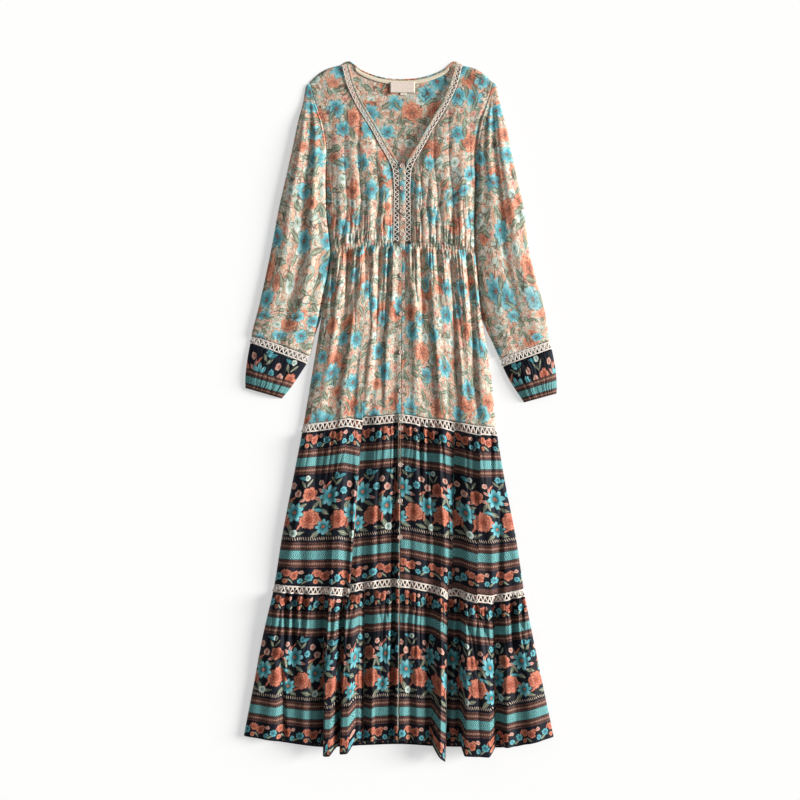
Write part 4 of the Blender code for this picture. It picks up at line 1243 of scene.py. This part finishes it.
def make_bodice():
    for side, side_name in SIDES:
        make_bodice_front(side, side_name)
        make_neck_edge(side, side_name)
    lap = 1 + BODY_LAP / 150
    x, y, z = bodice_back(*net((-lap, lap, 101), (0, 1, 71)))
    obj = cloth_piece("bodice_back", (x, y, z), (x + 2500, -y), FLORAL, True)


def sleeve_shell(arm, upper, columns, rows, seed):
    """Points of one layer of a sleeve; its inner edge runs on under the body's edge."""
    u, v = net((0, 1, columns), (0, 1, rows))
    x, y, z = sleeve(arm, u, v, upper)
    width = np.hypot(x[:, -1] - x[:, 0], y[:, -1] - y[:, 0])[:, None]
    lap = (ARMHOLE_LAP if upper else BODY_LAP) * unit((0.92 - v) / 0.08)
    place = u * (1 + lap / width)
    x, y, z = sleeve(arm, place, v, upper)
    y = y + (1.5 + 11.0 * place) * unit(1 - v / 0.04)
    corner = unit(1 - v / 0.035)
    x = x - np.sign(x) * (1 - place) * 7.0 * (1 - np.sqrt(1 - corner**2))
    if not upper:
        return (x, y, z), u, v
    swell = arch(place)
    z = z + SLEEVE_FLATTER * (swell**0.25 - swell**0.5) * unit(v / 0.2)
    long_folds = wander(place * 6 + 1.2 * v, 1.0, seed)
    long_folds = long_folds * (0.7 + 0.3 * wander(v * 3, 1.0, seed + 1))
    creases = np.abs(wander(place * 3 + 7 * v, 1.0, seed + 2)) * wander(v * 9, 1.0, seed + 3)
    rise = (2.6 * long_folds + 1.3 * creases) * swell * unit(0.1 + v / 0.35)
    foot_gap = (1 - v) * SLEEVE_LENGTH
    rise = rise + 0.5 * gathered(place * 110 + 400, foot_gap, CUFF_GATHERS, seed + 4) * swell
    bridge = FRONT + WALL + armhole_rise(y) * rolled(place, 1)
    loose = between(z + WALL + rise, bridge, eased(unit(1 - v / SLEEVE_HEAD_REACH)))
    loose = closed_down(loose, place * width, v * SLEEVE_LENGTH)
    z = between(loose, closed_down(loose, (1 - place) * width), armhole_open(y))
    return (x, y, z - 0.7 * unit((place - 1) * width / 2.0)), u, v


def cuff_shell(cuff, place, v, upper, seed):
    """Points of one layer of a cuff, gathered at both ends and finely puckered at its edge."""
    x, y, z = tube_side(cuff, place, v, upper, SLEEVE_BACK_LIFT * (1 - v))
    if not upper:
        return x, y, z
    width, along = between(*CUFF_WIDTHS, v), place * 100 + 500
    rise = gathered(along, v * CUFF_LENGTH, CUFF_GATHERS, seed)
    rise = rise + 1.4 * gathered(along, (1 - v) * CUFF_LENGTH, CUFF_GATHERS, seed + 30)
    rise = rise * unit(np.sin(np.pi * place) * 2)
    y = y + 0.8 * ridges(along / CUFF_PUCKERS) * unit((v - 0.85) / 0.15)
    return x, y, closed_down(z + WALL + rise, place * width, (1 - place) * width)


def make_sleeve(name, side, upper, arm, lace_rows, cuff):
    """One layer of a sleeve, of its lace and of its cuff; `name` is its side and layer."""

    def turned(u):
        return u if side < 0 else 1 - u

    columns, rows = (111, 131) if upper else (31, 61)
    xyz, u, v = sleeve_shell(arm, upper, columns, rows, 700 + 30 * side)
    xyz = [axis if side < 0 else axis[:, ::-1] for axis in xyz]
    shift = 3000 * side + (600 if upper else 0)
    span = np.hypot(*(axis[:, -1:] - axis[:, :1] for axis in xyz[:2]))
    st = ((u - 0.5) * span * 1.2 + shift, v * 525)
    obj = cloth_piece(f"sleeve_{name}", xyz, st, FLORAL, not upper)

    def lace_surface(along, up):
        return tube_side(lace_rows, turned(along), 1 - up, upper, SLEEVE_BACK_LIFT)

    lace_piece(f"sleeve_lace_{name}", lace_surface, 12, SLEEVE_LACE_BAND)
    columns, rows = (101, 24) if upper else (31, 8)
    down = np.append(np.linspace(0, 0.5, rows), np.linspace(0.502, 1, rows))
    u, v = np.meshgrid(np.linspace(0, 1, columns), down)
    xyz = cuff_shell(cuff, turned(u), v, upper, 820 + side)
    st = (u * 130 + shift, np.interp(v, *CUFF_PRINT))
    obj = cloth_piece(f"cuff_{name}", xyz, st, BORDER, not upper)


def make_sleeves():
    arms = {
        "left": (SLEEVE_LEFT, SLEEVE_LACE_LEFT, CUFF_LEFT),
        "right": (SLEEVE_RIGHT, SLEEVE_LACE_RIGHT, CUFF_RIGHT),
    }
    for side, side_name in SIDES:
        for layer, upper in (("front", True), ("back", False)):
            make_sleeve(f"{side_name}_{layer}", side, upper, *arms[side_name])


def placket_piece(name, points, half, prints):
    """A narrow crowned strip on rows of points."""
    x, y, z = np.moveaxis(points, -1, 0)
    across = np.linspace(-1, 1, points.shape[1])
    st = (across * half + 5000 + 0 * x, -y)
    z = z + 0.5 * (1 - across**2) + WALL
    return cloth_piece(name, (x, y, z), st, prints)


def make_placket():
    """The buttoned strip down the middle of the front."""
    across = np.linspace(-1, 1, 9)
    rows = np.linspace(BODICE_PLACKET_TOP, BODICE_PLACKET_FOOT, 60)
    points = np.array([[on_bodice_placket(a, y) for a in across] for y in rows])
    obj = placket_piece("placket_bodice", points, BODICE_PLACKET_HALF, FLORAL)
    rows = np.linspace(-0.02, PLACKET_FOOT, 280)
    points = np.array([[on_skirt_placket(a, max(w, 0)) for a in across] for w in rows])
    points[..., 1] -= np.minimum(rows, 0)[:, None] * TIER_LENGTH
    obj = placket_piece("placket_skirt", points, PLACKET_HALVES[0], FLORAL[::-1])


def turned_shape(profile, sides=28):
    """Points and faces of a turned piece from radius and height pairs, closed at its ends."""
    turns = np.linspace(0, 2 * np.pi, sides, endpoint=False)
    points = [(r * math.cos(a), r * math.sin(a), z) for r, z in profile for a in turns]
    index = np.arange(len(points)).reshape(-1, sides)
    ahead = np.roll(index, -1, axis=1)
    quads = np.stack([index[:-1], ahead[:-1], ahead[1:], index[1:]], -1).reshape(-1, 4)
    return np.array(points), [*quads.tolist(), index[0, ::-1].tolist(), index[-1].tolist()]


def make_button(name, middle):
    points, faces = turned_shape(BUTTON_PROFILE)
    obj = mesh_object(f"{name}_pearl", points + middle, faces, points[:, :2], [PEARL])
    finish_piece(obj, [name])
    cords = Cords()
    for dx, dy in ((1, 1), (1, -1)):
        ends = np.array([[-dx, -dy, 1.5], [0, 0, 2.0], [dx, dy, 1.5]]) * (0.9, 0.9, 1) + middle
        cords.add(ends, 0.3, 0.3)
    finish_piece(cords.object(f"{name}_thread", LACE))


def make_buttons():
    for i, y in enumerate(BODICE_BUTTONS):
        make_button(f"button_bodice_{i + 1}", on_bodice_placket(0, y) + (0, 0, ON_TOP))
    for i in range(SKIRT_BUTTON_COUNT):
        place = on_skirt_placket(0, SKIRT_BUTTONS_FIRST + SKIRT_BUTTON_STEP * i)
        make_button(f"button_skirt_{i + 1}", place + (0, 0, ON_TOP + BUTTON_TILT))


def back_neckline(x):
    return smooth(BACK_TOP, "x", "y", np.abs(x))


def make_neck_finish():
    """The tape inside the back neckline, the bound edge over it, the label and the size tab."""
    u, v = net((-TAPE_HALF, TAPE_HALF, 81), (0, TAPE_WIDTH, 7))
    height = FRONT + 0.6 + 0.5 * np.sin(np.pi * v / TAPE_WIDTH)
    tape = (CENTRE + u, back_neckline(u) - TAPE_BELOW - v, height)
    cloth_piece("neck_tape", tape, (u, v), [TAPE, TAPE], suffix="band")
    x = np.linspace(-BINDING_HALF, BINDING_HALF, 120)
    cords = Cords()
    cords.add(np.stack([CENTRE + x, back_neckline(x) - 1.2, 0 * x + 1.3], -1), 1.6, 1.0, 8)
    finish_piece(cords.object("neck_binding", FLORAL[0]), ())
    half = LABEL_WIDTH / 2
    u, v = net((-half, half, 21), (0, LABEL_HEIGHT, 11))
    height = FRONT + WALL + GAP + 0.5 + 0.3 * (u / half) ** 2
    label = (CENTRE + LABEL_ASIDE + u, LABEL_TOP - v, height)
    obj = cloth_piece("neck_label", label, (u, v), [LABEL, LABEL], suffix="bare")
    u, v = net((-TAB_WIDTH / 2, TAB_WIDTH / 2, 21), (0, TAB_HEIGHT, 11))
    tab = (CENTRE + TAB_ASIDE + u, TAB_TOP - v, FRONT + 0.5 + 0.4 * v / TAB_HEIGHT)
    cloth_piece("size_tab", tab, (u, v), [LABEL, LABEL], suffix="bare")


# --- Floor, light and camera ---

VIEW_WIDTH = 1.6  # metres across the picture, at the cloth
VIEW_MIDDLE = (-0.001, 0.018, 0.010)
CAMERA_HEIGHT = 3.6
SENSOR = 36.0
SUN_FROM = (1.0, 0.10, 0.38)
SUN_COLOUR, SUN_STRENGTH, SUN_ANGLE = (1.0, 0.99, 0.97), 6.6, 24.0
SKY_STRENGTH = 0.30
FLOOR_HALF = 6.0
WHITE_LIGHT = (1.0, 1.0, 1.0, 1.0)


def add_object(name, data):
    obj = bpy.data.objects.new(name, data)
    bpy.context.scene.collection.objects.link(obj)
    return obj


def make_sun():
    """A broad soft light low on the right."""
    data = bpy.data.lights.new("sun", "SUN")
    data.energy = SUN_STRENGTH
    data.angle = math.radians(SUN_ANGLE)
    data.color = SUN_COLOUR
    turn = (-Vector(SUN_FROM)).to_track_quat("-Z", "Y")
    add_object("sun", data).rotation_euler = turn.to_euler()


def make_stage():
    data = bpy.data.meshes.new("floor")
    corners = [(x * FLOOR_HALF, y * FLOOR_HALF, 0) for x, y in ((-1, -1), (1, -1), (1, 1), (-1, 1))]
    data.from_pydata(corners, [], [(0, 1, 2, 3)])
    material, shader = new_material("pale_floor", 0.9, specular=0.1)
    plug_all(shader, {"Base Color": (0.5, 0.5, 0.5, 1), "Emission Color": WHITE_LIGHT,
                      "Emission Strength": 0.47})
    data.materials.append(material)
    add_object("floor", data)
    world = bpy.data.worlds.new("studio")
    world.use_nodes = True
    plug_all(world.node_tree.nodes["Background"], {"Color": WHITE_LIGHT, "Strength": SKY_STRENGTH})
    bpy.context.scene.world = world
    bpy.context.scene.view_settings.view_transform = "Standard"


def make_camera():
    data = bpy.data.cameras.new("camera")
    data.sensor_width = SENSOR
    data.lens = SENSOR * (CAMERA_HEIGHT - VIEW_MIDDLE[2]) / VIEW_WIDTH
    camera = add_object("camera", data)
    camera.location = (*VIEW_MIDDLE[:2], CAMERA_HEIGHT)
    bpy.context.scene.camera = camera


make_camera()
make_stage()
make_sun()
make_skirt()
make_skirt_laces()
make_bodice()
make_sleeves()
make_placket()
make_buttons()
make_neck_finish()

bpy.context.view_layer.update()
